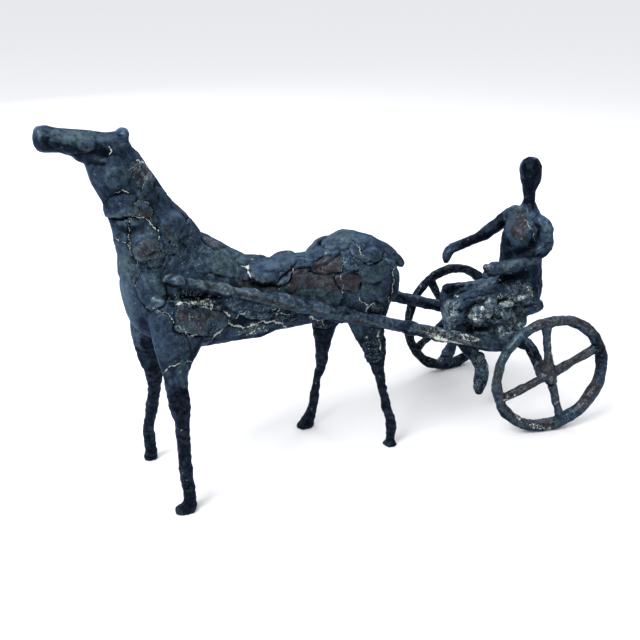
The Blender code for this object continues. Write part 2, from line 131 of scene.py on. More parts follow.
@dataclass(frozen=True)
class Line:
    """A seam or crack: its course and half width in pixels and its depth in millimetres. Lines
    without residue are drawn dark; some are cracks, and some are painted shadow beneath a pat.
    """

    points: tuple[tuple[float, float], ...]
    residue: float = 1.0
    depth: float = 0.5
    half_width: float = 0.9

    def distance(self, places: np.ndarray) -> tuple[np.ndarray, np.ndarray]:
        """Measure how far places are from the line.

        Args:
            places: Pixel coordinates, one row each.

        Returns:
            The distance of each in pixels, and the side it is on, as 1 or -1.
        """
        nearest, side = np.full(len(places), np.inf), np.ones(len(places))
        for start, end in zip(self.points, self.points[1:]):
            step, offset = np.subtract(end, start), places - start
            share = np.clip((offset @ step) / (step @ step), 0, 1)
            gap = np.linalg.norm(offset - share[:, None] * step, axis=1)
            closer = gap < nearest
            nearest[closer] = gap[closer]
            turn = step[0] * offset[:, 1] - step[1] * offset[:, 0]
            side[closer] = np.where(turn[closer] < 0, -1.0, 1.0)
        return nearest, side


@dataclass(frozen=True)
class Lump:
    """A blob of wax melted into a casting, in the photograph's pixels."""

    x: float
    y: float
    half_length: float
    half_height: float
    turn: float = 0.0
    sunk: float = 0.35


@dataclass(frozen=True)
class Patch:
    """A soft-edged area of the photograph where a mark is stronger."""

    x: float
    y: float
    half_length: float
    half_height: float
    strength: float = 1.0
    turn: float = 0.0


@dataclass(frozen=True)
class Dent:
    """A kind of mark pressed all over a casting, with its size and depth in metres."""

    kind: str
    size: float
    depth: float

    def texture(self) -> bpy.types.Texture:
        """Make the texture that a Displace modifier presses into the wax.

        Returns:
            The texture.
        """
        texture = bpy.data.textures.new(f"{self.kind.lower()} {self.size:.4f}", self.kind)
        texture.noise_scale = self.size
        if self.kind == "CLOUDS":
            texture.noise_depth = 1
        return texture


@dataclass
class StudioCamera:
    """The camera at the photograph's viewing angle."""

    place: tuple[float, float, float] = (-0.3039, -0.5435, 0.363)
    azimuth: float = -27.9
    elevation: float = 22.7
    focal_pixels: float = 900.0
    frame_pixels: float = 640.0
    sensor: float = 36.0

    def matrix(self) -> Matrix:
        """Return the camera's place and rotation."""
        turn = Euler((math.radians(90 - self.elevation), 0, math.radians(self.azimuth)))
        return Matrix.Translation(self.place) @ turn.to_matrix().to_4x4()

    def project(self, points: np.ndarray) -> tuple[np.ndarray, np.ndarray]:
        """Find where points lie in the photograph.

        Args:
            points: Places in metres, one row each.

        Returns:
            Pixel coordinates, one row each, and the distance in front of the camera.
        """
        inverse = np.array(self.matrix().inverted())
        seen = points @ inverse[:3, :3].T + inverse[:3, 3]
        ahead = -seen[:, 2]
        middle = self.frame_pixels / 2
        across = middle + self.focal_pixels * seen[:, 0] / ahead
        down = middle - self.focal_pixels * seen[:, 1] / ahead
        return np.stack([across, down], 1), ahead

    def ray(self, x: float, y: float) -> tuple[Vector, Vector]:
        """Find the line of sight through a pixel.

        Args:
            x: The pixel's place across the photograph.
            y: Its place down the photograph.

        Returns:
            The line's start and its direction.
        """
        middle = self.frame_pixels / 2
        aim = Vector(((x - middle) / self.focal_pixels, (middle - y) / self.focal_pixels, -1.0))
        matrix = self.matrix()
        return matrix.translation, (matrix.to_3x3() @ aim).normalized()

    def build(self) -> None:
        """Add the camera and make it the scene's."""
        lens = bpy.data.cameras.new("studio camera")
        lens.sensor_width = self.sensor
        lens.lens = self.sensor * self.focal_pixels / self.frame_pixels
        lens.clip_start = 0.01
        camera = bpy.data.objects.new("studio camera", lens)
        camera.matrix_world = self.matrix()
        bpy.context.scene.collection.objects.link(camera)
        bpy.context.scene.camera = camera


CAMERA = StudioCamera()


class Skin:
    """A mesh's points, normals and edges as arrays, for work on the whole surface at once."""

    def __init__(self, piece: bpy.types.Object) -> None:
        """Read a mesh.

        Args:
            piece: The piece whose mesh it is.
        """
        self.mesh = piece.data
        count = len(self.mesh.vertices)
        self.points = np.empty(count * 3, np.float32)
        self.mesh.vertices.foreach_get("co", self.points)
        self.points = self.points.reshape(-1, 3).astype(float)
        edges = np.empty(len(self.mesh.edges) * 2, np.int32)
        self.mesh.edges.foreach_get("vertices", edges)
        self.edges = edges.reshape(-1, 2)
        ends = np.concatenate([self.edges[:, 0], self.edges[:, 1]])
        self.neighbours = np.maximum(np.bincount(ends, minlength=count), 1)
        self.read_normals()

    def read_normals(self) -> None:
        """Read the vertex normals of the mesh as it now is."""
        normals = np.empty(len(self.points) * 3, np.float32)
        self.mesh.vertex_normals.foreach_get("vector", normals)
        self.normals = normals.reshape(-1, 3).astype(float)

    def write(self) -> None:
        """Put the points back into the mesh and renew the normals."""
        self.mesh.vertices.foreach_set("co", self.points.astype(np.float32).ravel())
        self.mesh.update()
        self.read_normals()

    def averaged(self, values: np.ndarray, rounds: int) -> np.ndarray:
        """Blur values over the surface.

        Args:
            values: One value, or one row of values, for each vertex.
            rounds: How many times each vertex takes in its neighbours' mean.

        Returns:
            The blurred values, in the same shape.
        """
        first, second = self.edges[:, 0], self.edges[:, 1]
        columns = values.reshape(len(values), -1).copy()
        for _ in range(rounds):
            for k in range(columns.shape[1]):
                column = columns[:, k]
                total = np.bincount(first, column[second], len(column))
                total += np.bincount(second, column[first], len(column))
                columns[:, k] = 0.5 * column + 0.5 * total / self.neighbours
        return columns.reshape(values.shape)

    def melt_facets(self, rounds: int) -> None:
        """Smooth the surface without shrinking it: each pass in is followed by one out.

        Args:
            rounds: How many pairs of passes are made.
        """
        give_back = 1.04
        for _ in range(rounds):
            self.points = self.averaged(self.points, 1)
            self.points += give_back * (self.points - self.averaged(self.points, 1))
        self.write()

    def hollows(self, rounds: int) -> np.ndarray:
        """Return how deep each vertex lies under its surroundings, in metres."""
        around = self.averaged(self.points, rounds)
        return np.einsum("ij,ij->i", around - self.points, self.normals)

    def keep(self, mark: Mark, values: np.ndarray) -> None:
        """Store values on the mesh for the material to read."""
        attribute = self.mesh.attributes.new(mark.value, "FLOAT", "POINT")
        attribute.data.foreach_set("value", values.astype(np.float32))


def smooth_step(low: float, high: float, values: np.ndarray) -> np.ndarray:
    """Return 0 below low, 1 above high and a smooth rise between."""
    share = np.clip((values - low) / (high - low), 0.0, 1.0)
    return share * share * (3 - 2 * share)


def oval_reach(long: np.ndarray, wide: np.ndarray, squareness: float) -> np.ndarray:
    """Return how far places are from the middle of an oval, which is squarer for more than 2."""
    return (np.abs(long) ** squareness + np.abs(wide) ** squareness) ** (1 / squareness)


def select_only(piece: bpy.types.Object) -> None:
    """Deselect everything, then select one piece and make it active.

    Args:
        piece: The piece to select.
    """
    for other in bpy.context.view_layer.objects:
        other.select_set(False)
    piece.select_set(True)
    bpy.context.view_layer.objects.active = piece


def finish_with(piece: bpy.types.Object, kind: str, **settings: object) -> None:
    """Add a modifier to a piece and apply it.

    Args:
        piece: The piece to change.
        kind: Blender's name for the modifier.
        settings: The modifier's own settings.
    """
    select_only(piece)
    modifier = piece.modifiers.new(kind.lower(), kind)
    for name, value in settings.items():
        setattr(modifier, name, value)
    bpy.ops.object.modifier_apply(modifier=modifier.name)


@dataclass(frozen=True)
class Patina:
    """A bronze patina: its ramp of tones, its residue and how it takes the light."""

    name: str
    dark: tuple[float, float, float] = (0.0018, 0.0030, 0.0068)
    blue: tuple[float, float, float] = (0.019, 0.032, 0.053)
    teal: tuple[float, float, float] = (0.027, 0.046, 0.056)
    brown: tuple[float, float, float] = (0.033, 0.031, 0.036)
    # steel: the colour that ridges wear to, and that painted highlights brighten toward
    steel: tuple[float, float, float] = (0.080, 0.114, 0.142)
    cream: tuple[float, float, float] = (0.48, 0.52, 0.47)
    speckle: tuple[float, float, float] = (0.26, 0.33, 0.33)
    residue: float = 1.0
    wear: float = 0.5
    drift: float = 0.22
    roughness: float = 0.42
    gloss: float = 0.12
    gloss_tint: tuple[float, float, float] = (0.38, 0.55, 0.86)
    grain: float = 0.6
    grain_depth: float = 0.3 * MM

    def build(self, effects: "PatinaEffects") -> bpy.types.Material:
        """Make the material around the shared patina group.

        Args:
            effects: The node groups that all patinas share.

        Returns:
            The finished material.
        """
        material = bpy.data.materials.new(self.name)
        material.use_nodes = True
        nodes, links = material.node_tree.nodes, material.node_tree.links
        shader = nodes["Principled BSDF"]
        shader.inputs["Specular IOR Level"].default_value = self.gloss
        shader.inputs["Specular Tint"].default_value = (*self.gloss_tint, 1.0)
        group = nodes.new("ShaderNodeGroup")
        group.node_tree = effects.patina
        for socket in effects.COLOURS:
            group.inputs[socket].default_value = (*getattr(self, socket.lower()), 1.0)
        for socket in effects.AMOUNTS:
            group.inputs[socket].default_value = getattr(self, socket.lower())
        bump = nodes.new("ShaderNodeBump")
        bump.inputs["Strength"].default_value = self.grain
        bump.inputs["Distance"].default_value = self.grain_depth
        links.new(group.outputs["Colour"], shader.inputs["Base Color"])
        links.new(group.outputs["Roughness"], shader.inputs["Roughness"])
        links.new(group.outputs["Metal"], shader.inputs["Metallic"])
        links.new(group.outputs["Height"], bump.inputs["Height"])
        links.new(bump.outputs["Normal"], shader.inputs["Normal"])
        return material


class PatinaEffects:
    """The node group that turns a casting's marks into patina, residue, grain, painted highlights
    and painted shade.
    """

    COLOURS = ("Dark", "Blue", "Teal", "Brown", "Steel", "Cream", "Speckle")
    AMOUNTS = ("Residue", "Wear", "Drift", "Roughness")
    # Sizes of the patterns, in features per metre
    CLOUDS, MOTTLE, FINE, GRAINS, DOTS = 55, 260, 700, 1000, 300
    # Where one tone of the ramp gives way to the next
    DARK_TO_BLUE, BLUE_TO_TEAL, TEAL_TO_BROWN = (0.06, 0.30), (0.42, 0.62), (0.62, 0.84)

    def __init__(self) -> None:
        """Build the group."""
        self.patina = bpy.data.node_groups.new("cast bronze patina", "ShaderNodeTree")
        tree = self.patina
        for names, way, kind in ((self.COLOURS, "INPUT", "Color"), (self.AMOUNTS, "INPUT", "Float"),
                                 (("Colour",), "OUTPUT", "Color"),
                                 (("Roughness", "Metal", "Height"), "OUTPUT", "Float")):
            for name in names:
                tree.interface.new_socket(name, in_out=way, socket_type=f"NodeSocket{kind}")
        self.given = tree.nodes.new("NodeGroupInput")
        self.made = tree.nodes.new("NodeGroupOutput")
        self.place = tree.nodes.new("ShaderNodeTexCoord").outputs["Object"]
        self.wire()

    def noise(self, scale: float, detail: float, roughness: float = 0.6,
              distortion: float = 0.0) -> bpy.types.NodeSocket:
        """Add noise over the object's own coordinates.

        Args:
            scale: Its features per metre.
            detail: How many finer layers it has.
            roughness: How strong each finer layer is.
            distortion: How far it is twisted.

        Returns:
            Its value's socket.
        """
        node = self.patina.nodes.new("ShaderNodeTexNoise")
        for name, value in (("Scale", scale), ("Detail", detail), ("Roughness", roughness),
                            ("Distortion", distortion)):
            node.inputs[name].default_value = value
        self.patina.links.new(self.place, node.inputs["Vector"])
        return node.outputs["Fac"]

    def cells(self, scale: float) -> bpy.types.NodeSocket:
        """Scatter points over the object's own coordinates.

        Args:
            scale: How many lie along a metre.

        Returns:
            The distance to the nearest point.
        """
        node = self.patina.nodes.new("ShaderNodeTexVoronoi")
        node.inputs["Scale"].default_value = scale
        self.patina.links.new(self.place, node.inputs["Vector"])
        return node.outputs["Distance"]

    def mark(self, mark: Mark) -> bpy.types.NodeSocket:
        """Read a value that the mesh carries.

        Args:
            mark: Which value.

        Returns:
            The value's socket.
        """
        node = self.patina.nodes.new("ShaderNodeAttribute")
        node.attribute_name = mark.value
        return node.outputs["Fac"]

    def reckon(self, operation: str, first: object, second: object,
               clamp: bool = True) -> bpy.types.NodeSocket:
        """Reckon with two values or sockets.

        Args:
            operation: The Math node's operation.
            first: A socket or a number.
            second: A socket or a number.
            clamp: Whether the result is kept between 0 and 1.

        Returns:
            The result's socket.
        """
        node = self.patina.nodes.new("ShaderNodeMath")
        node.operation = operation
        node.use_clamp = clamp
        for socket, value in zip(node.inputs, (first, second)):
            self.feed(socket, value)
        return node.outputs[0]

    def times(self, first: object, second: object, clamp: bool = True) -> bpy.types.NodeSocket:
        """Return the product of two values or sockets."""
        return self.reckon("MULTIPLY", first, second, clamp)

    def plus(self, first: object, second: object, clamp: bool = True) -> bpy.types.NodeSocket:
        """Return the sum of two values or sockets."""
        return self.reckon("ADD", first, second, clamp)

    def between(self, value: object, low: float, high: float,
                start: float = 0.0, end: float = 1.0) -> bpy.types.NodeSocket:
        """Change smoothly while a value goes from low to high.

        Args:
            value: The value or its socket.
            low: Where the change starts.
            high: Where it ends.
            start: The result up to its start.
            end: The result from its end on.

        Returns:
            The result's socket.
        """
        node = self.patina.nodes.new("ShaderNodeMapRange")
        node.interpolation_type = "SMOOTHSTEP"
        for name, given in (("Value", value), ("From Min", low), ("From Max", high),
                            ("To Min", start), ("To Max", end)):
            self.feed(node.inputs[name], given)
        return node.outputs["Result"]

    def mixed(self, share: object, first: object, second: object,
              blend: str = "MIX") -> bpy.types.NodeSocket:
        """Lay one colour over another.

        Args:
            share: How much of the second colour shows.
            first: The colour beneath.
            second: The colour on top.
            blend: The Mix node's blend type.

        Returns:
            The mixed colour's socket.
        """
        node = self.patina.nodes.new("ShaderNodeMix")
        node.data_type = "RGBA"
        node.blend_type = blend
        for place, value in (("Factor", share), (6, first), (7, second)):
            self.feed(node.inputs[place], value)
        return node.outputs[2]

    def shaded(self, colour: bpy.types.NodeSocket,
               factor: bpy.types.NodeSocket) -> bpy.types.NodeSocket:
        """Return a colour made darker or lighter by a factor."""
        return self.mixed(1.0, colour, factor, "MULTIPLY")

    def feed(self, socket: bpy.types.NodeSocket, value: object) -> None:
        """Give a socket its input.

        Args:
            socket: The socket to feed.
            value: Another socket, or a number or colour.
        """
        if isinstance(value, bpy.types.NodeSocket):
            self.patina.links.new(value, socket)
        else:
            socket.default_value = value

    def wire(self) -> None:
        """Lay the tones, wear, painted highlights, painted shade, speckle and residue over each
        other.
        """
        given = self.given.outputs
        clouds = self.noise(self.CLOUDS, 3)
        mottle = self.noise(self.MOTTLE, 5, 0.7)
        fine = self.noise(self.FINE, 3, 0.7)
        drift = self.between(clouds, 0.3, 0.7, -0.5, 0.5)
        drift = self.times(drift, given["Drift"], clamp=False)
        drift = self.plus(self.mark(Mark.TONE), drift)
        colour = self.toned(drift, mottle, fine)
        colour = self.wear_and_painted_light(colour, drift, mottle)
        colour = self.mixed(self.speckled(mottle), colour, given["Speckle"])
        uneven = self.plus(fine, self.times(mottle, 0.6), clamp=False)
        filled, cracks_and_painted_shadow = self.drawn(uneven)
        # Bare lines are painted dark: some are cracks, some painted shadow beneath pats.
        colour = self.mixed(self.times(cracks_and_painted_shadow, 0.85), colour, given["Dark"])
        cream = self.crusted(clouds, uneven, filled)
        colour = self.mixed(cream, colour, given["Cream"])
        rough = self.between(mottle, 0.3, 0.7, -0.08, 0.14)
        rough = self.plus(given["Roughness"], rough)
        rough = self.plus(rough, self.times(self.mark(Mark.CREVICE), 0.3))
        rough = self.plus(rough, self.times(cream, 0.4))
        metal = self.reckon("SUBTRACT", 0.6, cream)
        height = self.plus(self.times(mottle, 0.6), self.times(fine, 0.4))
        height = self.reckon("SUBTRACT", height, self.times(cracks_and_painted_shadow, 0.5))
        for name, socket in (("Colour", colour), ("Roughness", rough), ("Metal", metal),
                             ("Height", height)):
            self.patina.links.new(socket, self.made.inputs[name])

    def toned(self, drift: bpy.types.NodeSocket, mottle: bpy.types.NodeSocket,
              fine: bpy.types.NodeSocket) -> bpy.types.NodeSocket:
        """Mix the patina's own colour, mottled light and dark, with painted shade along the seams.

        Args:
            drift: The place on the ramp of tones.
            mottle: The coarser mottling.
            fine: The finer mottling.

        Returns:
            The colour.
        """
        given = self.given.outputs
        colour = given["Dark"]
        for name, span in (("Blue", self.DARK_TO_BLUE), ("Teal", self.BLUE_TO_TEAL),
                           ("Brown", self.TEAL_TO_BROWN)):
            colour = self.mixed(self.between(drift, *span), colour, given[name])
        colour = self.shaded(colour, self.between(mottle, 0.34, 0.66, 0.60, 1.35))
        colour = self.shaded(colour, self.between(fine, 0.32, 0.68, 0.65, 1.35))
        # Painted shade: the grooves around pats are darkened to 60 percent.
        return self.shaded(colour, self.between(self.mark(Mark.SEAM), 0.3, 1.0, 1.0, 0.6))

    def wear_and_painted_light(self, colour: bpy.types.NodeSocket, drift: bpy.types.NodeSocket,
             mottle: bpy.types.NodeSocket) -> bpy.types.NodeSocket:
        """Rub ridges bright, least on dark and brown patina, add painted highlights and paint shade
        into crevices.

        Args:
            colour: The patina's colour.
            drift: The place on the ramp of tones.
            mottle: The coarser mottling.

        Returns:
            The colour with wear, painted highlights and painted crevice shade.
        """
        ridge = self.times(self.mark(Mark.RIDGE), self.given.outputs["Wear"])
        ridge = self.times(ridge, self.between(drift, *self.DARK_TO_BLUE, 0.30, 1.0))
        ridge = self.times(ridge, self.between(drift, *self.TEAL_TO_BROWN, 1.0, 0.35))
        # Painted highlights from the highlight patches join the wear on ridges; both brighten
        # toward steel.
        rubbed = self.reckon("MAXIMUM", ridge, self.mark(Mark.RUBBED))
        rubbed = self.times(rubbed, self.between(mottle, 0.36, 0.58, 0.15, 1.0))
        colour = self.mixed(rubbed, colour, self.given.outputs["Steel"])
        # Painted shade: crevices are darkened, down to 6 percent of the colour.
        return self.shaded(colour, self.between(self.mark(Mark.CREVICE), 0.0, 0.9, 1.0, 0.06))

    def speckled(self, mottle: bpy.types.NodeSocket) -> bpy.types.NodeSocket:
        """Scatter pale specks where the skin is gritty, and a few round dots.

        Args:
            mottle: The coarser mottling.

        Returns:
            Where they lie.
        """
        gritty = self.plus(self.mark(Mark.GRIT), 0.2)
        crowded = self.times(self.mark(Mark.GRIT), 0.10)
        grains = self.noise(self.GRAINS, 5, 0.8, 0.8)
        specks = self.between(self.plus(grains, crowded), 0.59, 0.67)
        specks = self.times(specks, gritty)
        specks = self.times(specks, self.between(mottle, 0.42, 0.56))
        dots = self.between(self.cells(self.DOTS), 0.20, 0.10)
        dots = self.times(dots, self.between(mottle, 0.56, 0.60))
        return self.reckon("MAXIMUM", specks, self.times(dots, 0.8))

    def drawn(self, uneven: bpy.types.NodeSocket) -> tuple[bpy.types.NodeSocket, ...]:
        """Find where drawn lines show, swelling and thinning along their course.

        Args:
            uneven: Fine and coarse mottling together.

        Returns:
            Where they are filled with residue, and where they are bare: cracks, and painted shadow
            beneath pats.
        """
        swell = self.between(uneven, 0.60, 1.02, 0.0, 2.0)
        away = self.reckon("ABSOLUTE", self.mark(Mark.TRACE), 0.0, clamp=False)
        width = self.times(self.mark(Mark.DRAWN), swell, clamp=False)
        inside = self.reckon("SUBTRACT", width, away, clamp=False)
        bare_width = self.times(width, -1.0, clamp=False)
        bare = self.reckon("SUBTRACT", bare_width, away, clamp=False)
        return self.between(inside, 0.0, 0.45), self.between(bare, 0.0, 0.5)

    def crusted(self, clouds: bpy.types.NodeSocket, uneven: bpy.types.NodeSocket,
                filled: bpy.types.NodeSocket) -> bpy.types.NodeSocket:
        """Find where pale residue lies: in lines and patches, and here and there in seams.

        Args:
            clouds: The broadest mottling.
            uneven: Fine and coarse mottling together.
            filled: Where lines are filled with residue.

        Returns:
            How much residue covers the bronze.
        """
        patches = self.plus(self.mark(Mark.RESIDUE), self.times(uneven, 0.42, clamp=False),
                            clamp=False)
        drawn = self.reckon("MAXIMUM", self.between(patches, 1.19, 1.29), self.times(filled, 0.8))
        chance = self.plus(self.times(clouds, 1.2, clamp=False), uneven, clamp=False)
        seams = self.plus(self.mark(Mark.SEAM), chance, clamp=False)
        cover = self.reckon("MAXIMUM", drawn, self.between(seams, 2.60, 2.80))
        return self.times(cover, self.given.outputs["Residue"])


@dataclass
class View:
    """How a casting's vertices show in the photograph."""

    seen: np.ndarray
    ahead: np.ndarray
    facing: np.ndarray

    @classmethod
    def of(cls, skin: Skin, slack: float) -> "View":
        """Project a skin's vertices and find which ones face the camera unhidden.

        Args:
            skin: The skin to look at.
            slack: How deep under the surface a vertex may lie and still count as seen.

        Returns:
            The view.
        """
        seen, ahead = CAMERA.project(skin.points)
        sight = skin.points - np.array(CAMERA.place)
        sight /= np.linalg.norm(sight, axis=1)[:, None]
        edge_on, face_on = 0.02, 0.32
        facing = smooth_step(edge_on, face_on, -np.einsum("ij,ij->i", sight, skin.normals))
        tree = BVHTree.FromPolygons([tuple(point) for point in skin.points],
                                    [tuple(face.vertices) for face in skin.mesh.polygons])
        eye = Vector(CAMERA.place)
        for index in np.flatnonzero(facing):
            aim = Vector(skin.points[index]) - eye
            _, _, _, distance = tree.ray_cast(eye, aim.normalized())
            if distance is None or distance < aim.length - slack:
                facing[index] = 0.0
        return cls(seen, ahead, facing)

    def oval(self, area: Pat | Patch) -> tuple[np.ndarray, np.ndarray, np.ndarray]:
        """Measure how far each vertex shows from the middle of an oval.

        Args:
            area: A pat or patch of the photograph.

        Returns:
            The distance as a share of the oval's own reach, wavering like a torn edge, and
            the shares along and down the photograph.
        """
        offset = self.seen - (area.x, area.y)
        turn = math.radians(area.turn)
        long = (offset[:, 0] * math.cos(turn) + offset[:, 1] * math.sin(turn)) / area.half_length
        wide = (offset[:, 1] * math.cos(turn) - offset[:, 0] * math.sin(turn)) / area.half_height
        away = oval_reach(long, wide, squareness=2.6) * waver(long, wide, area.x + area.y)
        return away, long, wide

    def spot(self, patch: Patch, edge: float = 0.6) -> np.ndarray:
        """Return how strongly a soft patch covers each vertex that shows."""
        outer, away = 1.1, self.oval(patch)[0]
        return smooth_step(outer, edge, away) * patch.strength * (self.facing > 0)


@dataclass
class Wax:
    """What has been pressed and laid on a skin so far, one value for each vertex."""

    relief: np.ndarray
    tone: np.ndarray
    grit: np.ndarray
    seam: np.ndarray
    residue: np.ndarray
    rubbed: np.ndarray
    drawn: np.ndarray
    trace: np.ndarray

    @classmethod
    def bare(cls, count: int, tone: Tone, grit: float) -> "Wax":
        """Start with plain wax.

        Args:
            count: How many vertices the skin has.
            tone: The tone all over.
            grit: How gritty it is all over.

        Returns:
            The wax.
        """
        far_from_lines = 9.0
        blank = [np.zeros(count) for _ in range(5)]
        return cls(blank[0], np.full(count, tone.value), np.full(count, grit), *blank[1:],
                   np.full(count, far_from_lines))

    def lay(self, near: np.ndarray, away: np.ndarray, edge: np.ndarray, tilt: np.ndarray,
            thickness: float, tone: Tone, grit: float, fade: float | np.ndarray = 1.0) -> None:
        """Lay one pat over the relief.

        Args:
            near: Which vertices it may reach.
            away: Their distance from its middle, as a share of its reach.
            edge: Their distance in from its edge, in metres.
            tilt: How far each lies towards its raised lip, from -1 to 1.
            thickness: Its thickness in metres.
            tone: Its place on the tone ramp.
            grit: How gritty its surface is.
            fade: How fully each vertex takes the pat.
        """
        outside, inside = -0.35 * MM, 0.65 * MM
        groove_out, groove_width, groove_depth = 0.3 * MM, 0.75 * MM, 0.35
        flat, lean, crown, levelled = 0.45, 0.75, 0.55, 0.55
        cover = smooth_step(outside, inside, edge) * fade
        groove = np.exp(-((edge + groove_out) / groove_width) ** 2) * fade
        under = self.relief[near]
        level = np.median(under[away < 1]) if (away < 1).any() else 0.0
        dome = thickness * (flat + lean * tilt + crown * (1 - np.minimum(away, 1) ** 2))
        settled = levelled * level + (1 - levelled) * under
        self.relief[near] = under * (1 - cover) + (settled + dome) * cover
        self.relief[near] -= groove * groove_depth * abs(thickness) * (0.6 + 0.4 * tilt)
        self.seam[near] = np.maximum(self.seam[near] * (1 - cover), groove)
        self.tone[near] += (tone.value - self.tone[near]) * cover
        self.grit[near] += (grit - self.grit[near]) * cover


@dataclass
class Casting:
    """One bronze casting: its solid melted to a fine skin, then pressed, pitted and marked."""

    node: str
    slot: str
    patina: Patina
    grain: float = 0.7 * MM
    melt_rounds: int = 24
    thumbs: Dent = Dent("CLOUDS", 9 * MM, 0.6 * MM)
    pits: Dent = Dent("VORONOI", 4.5 * MM, 0.9 * MM)
    knobs: Dent = Dent("CLOUDS", 4 * MM, 1.2 * MM)
    sand: Dent = Dent("CLOUDS", 1.6 * MM, 0.5 * MM)
    pats: tuple[Pat, ...] = ()
    lines: tuple[Line, ...] = ()
    lumps: tuple[Lump, ...] = ()
    grit: tuple[Patch, ...] = ()
    # Areas of other tones; a few dark ones are painted shade on undersides.
    tones: tuple[tuple[Patch, Tone], ...] = ()
    residue: tuple[Patch, ...] = ()
    # Patches of painted highlight, brightened toward the steel colour.
    rubbed: tuple[Patch, ...] = ()
    base_tone: Tone = Tone.BLUE
    base_grit: float = 0.0
    boldness: float = 1.0
    pitted: float = 0.8
    piece: bpy.types.Object = field(init=False, default=None)
    view: View = field(init=False, default=None)
    wax: Wax = field(init=False, default=None)

    def build(self, effects: PatinaEffects) -> bpy.types.Object:
        """Make the casting and set it in its node's place.

        Args:
            effects: The node groups that all patinas share.

        Returns:
            The finished piece.
        """
        self.add_lumps(self.copy_solid())
        finish_with(self.piece, "REMESH", mode="VOXEL", voxel_size=self.grain, adaptivity=0.0)
        skin = Skin(self.piece)
        skin.melt_facets(self.melt_rounds)
        self.view = View.of(skin, 4 * self.grain)
        self.wax = Wax.bare(len(skin.points), self.base_tone, self.base_grit)
        self.press(skin)
        self.tint(skin)
        self.draw_lines()
        skin.points += skin.normals * self.wax.relief[:, None]
        skin.write()
        self.dent(skin)
        self.mark_skin()
        self.dress(effects)
        return self.piece

    def copy_solid(self) -> BVHTree:
        """Copy the node's mesh, with its loose triangles merged.

        Returns:
            The copy's surface.
        """
        solid = frame["nodes"][self.node]
        mesh = solid.data.copy()
        mesh.materials.clear()
        self.piece = bpy.data.objects.new(f"{self.node}_casting", mesh)
        bpy.context.scene.collection.objects.link(self.piece)
        merged = bmesh.new()
        merged.from_mesh(mesh)
        bmesh.ops.remove_doubles(merged, verts=merged.verts, dist=0.002 * MM)
        merged.to_mesh(mesh)
        surface = BVHTree.FromBMesh(merged)
        merged.free()
        return surface

    def add_lumps(self, surface: BVHTree) -> None:
        """Set blobs of wax where the photograph shows them, and join them to the piece.

        Args:
            surface: The solid's surface, which each blob is sunk into.
        """
        for lump in self.lumps:
            start, aim = CAMERA.ray(lump.x, lump.y)
            hit, _, _, distance = surface.ray_cast(start, aim)
            if hit is None:
                LOG.warning("%s: no wax under the lump at %g, %g", self.node, lump.x, lump.y)
                continue
            width = lump.half_length * distance / CAMERA.focal_pixels
            height = lump.half_height * distance / CAMERA.focal_pixels
            depth = min(width, height)
            bpy.ops.mesh.primitive_ico_sphere_add(subdivisions=3, radius=1.0)
            blob = bpy.context.object
            turn = Matrix.Rotation(math.radians(-lump.turn), 4, "Z")
            face_on = CAMERA.matrix().to_3x3().to_4x4() @ turn
            blob.data.transform(Matrix.Diagonal((width, height, depth, 1.0)))
            blob.data.transform(Matrix.Translation(hit + aim * depth * lump.sunk) @ face_on)
            select_only(self.piece)
            blob.select_set(True)
            bpy.ops.object.join()

    def press(self, skin: Skin) -> None:
        """Press the photograph's pats on, each over what is already there.

        Args:
            skin: The casting's skin; not used here.
        """
        reach = 1.25
        for pat in self.pats:
            away, along, down = self.view.oval(pat)
            near = (self.view.facing > 0) & (away < reach)
            if not near.any():
                continue
            metres = self.view.ahead[near].mean() / CAMERA.focal_pixels
            edge = (1 - away[near]) * min(pat.half_length, pat.half_height) * metres
            lip = math.radians(pat.lip)
            tilt = math.cos(lip) * along[near] + math.sin(lip) * down[near]
            self.wax.lay(near, away[near], edge, tilt, self.boldness * pat.thickness * MM, pat.tone,
                         pat.grit, self.view.facing[near])

    def tint(self, skin: Skin) -> None:
        """Paint shade on the undersides, then lay the photograph's tones, grit, residue and painted
        highlights.

        Args:
            skin: The casting's skin.
        """
        wax, view = self.wax, self.view
        # Painted shade: faces turned down are darkened toward the dark tone.
        upright, downward, underside_shade = 0.15, -0.45, 0.85
        under = underside_shade * smooth_step(upright, downward, skin.normals[:, 2])
        wax.tone += (Tone.DARK.value - wax.tone) * under
        for patch, tone in self.tones:
            wax.tone += (tone.value - wax.tone) * view.spot(patch)
        for patch in self.grit:
            wax.grit = np.maximum(wax.grit, view.spot(patch))
        for patch in self.residue:
            wax.residue = np.maximum(wax.residue, view.spot(patch, edge=0.5))
        # Painted highlights: these patches brighten the patina toward the steel colour.
        for patch in self.rubbed:
            wax.rubbed = np.maximum(wax.rubbed, view.spot(patch, edge=0.3))

    def draw_lines(self) -> None:
        """Sink the seams and cracks that the photograph shows, and note how they are filled; bare
        ones are drawn dark, some of them as painted shadow beneath pats.
        """
        widest, faintest, bare_width = 0.64, 0.30, -0.6
        faded, full, softness = 3.0, 1.2, 0.35
        wax, view = self.wax, self.view
        places = view.seen + ripple(view.seen)
        for line in self.lines:
            distance, side = line.distance(places)
            crease = np.exp(-((distance / (line.half_width + softness)) ** 2))
            wax.relief -= crease * line.depth * MM * view.facing
            filled = widest * line.half_width * (faintest + (1 - faintest) * line.residue)
            width = filled if line.residue else bare_width * line.half_width
            closer = distance < np.abs(wax.trace)
            wax.trace[closer] = (side * distance)[closer]
            drawn = width * smooth_step(faded, full, distance) * (view.facing > 0)
            wax.drawn[closer] = drawn[closer]

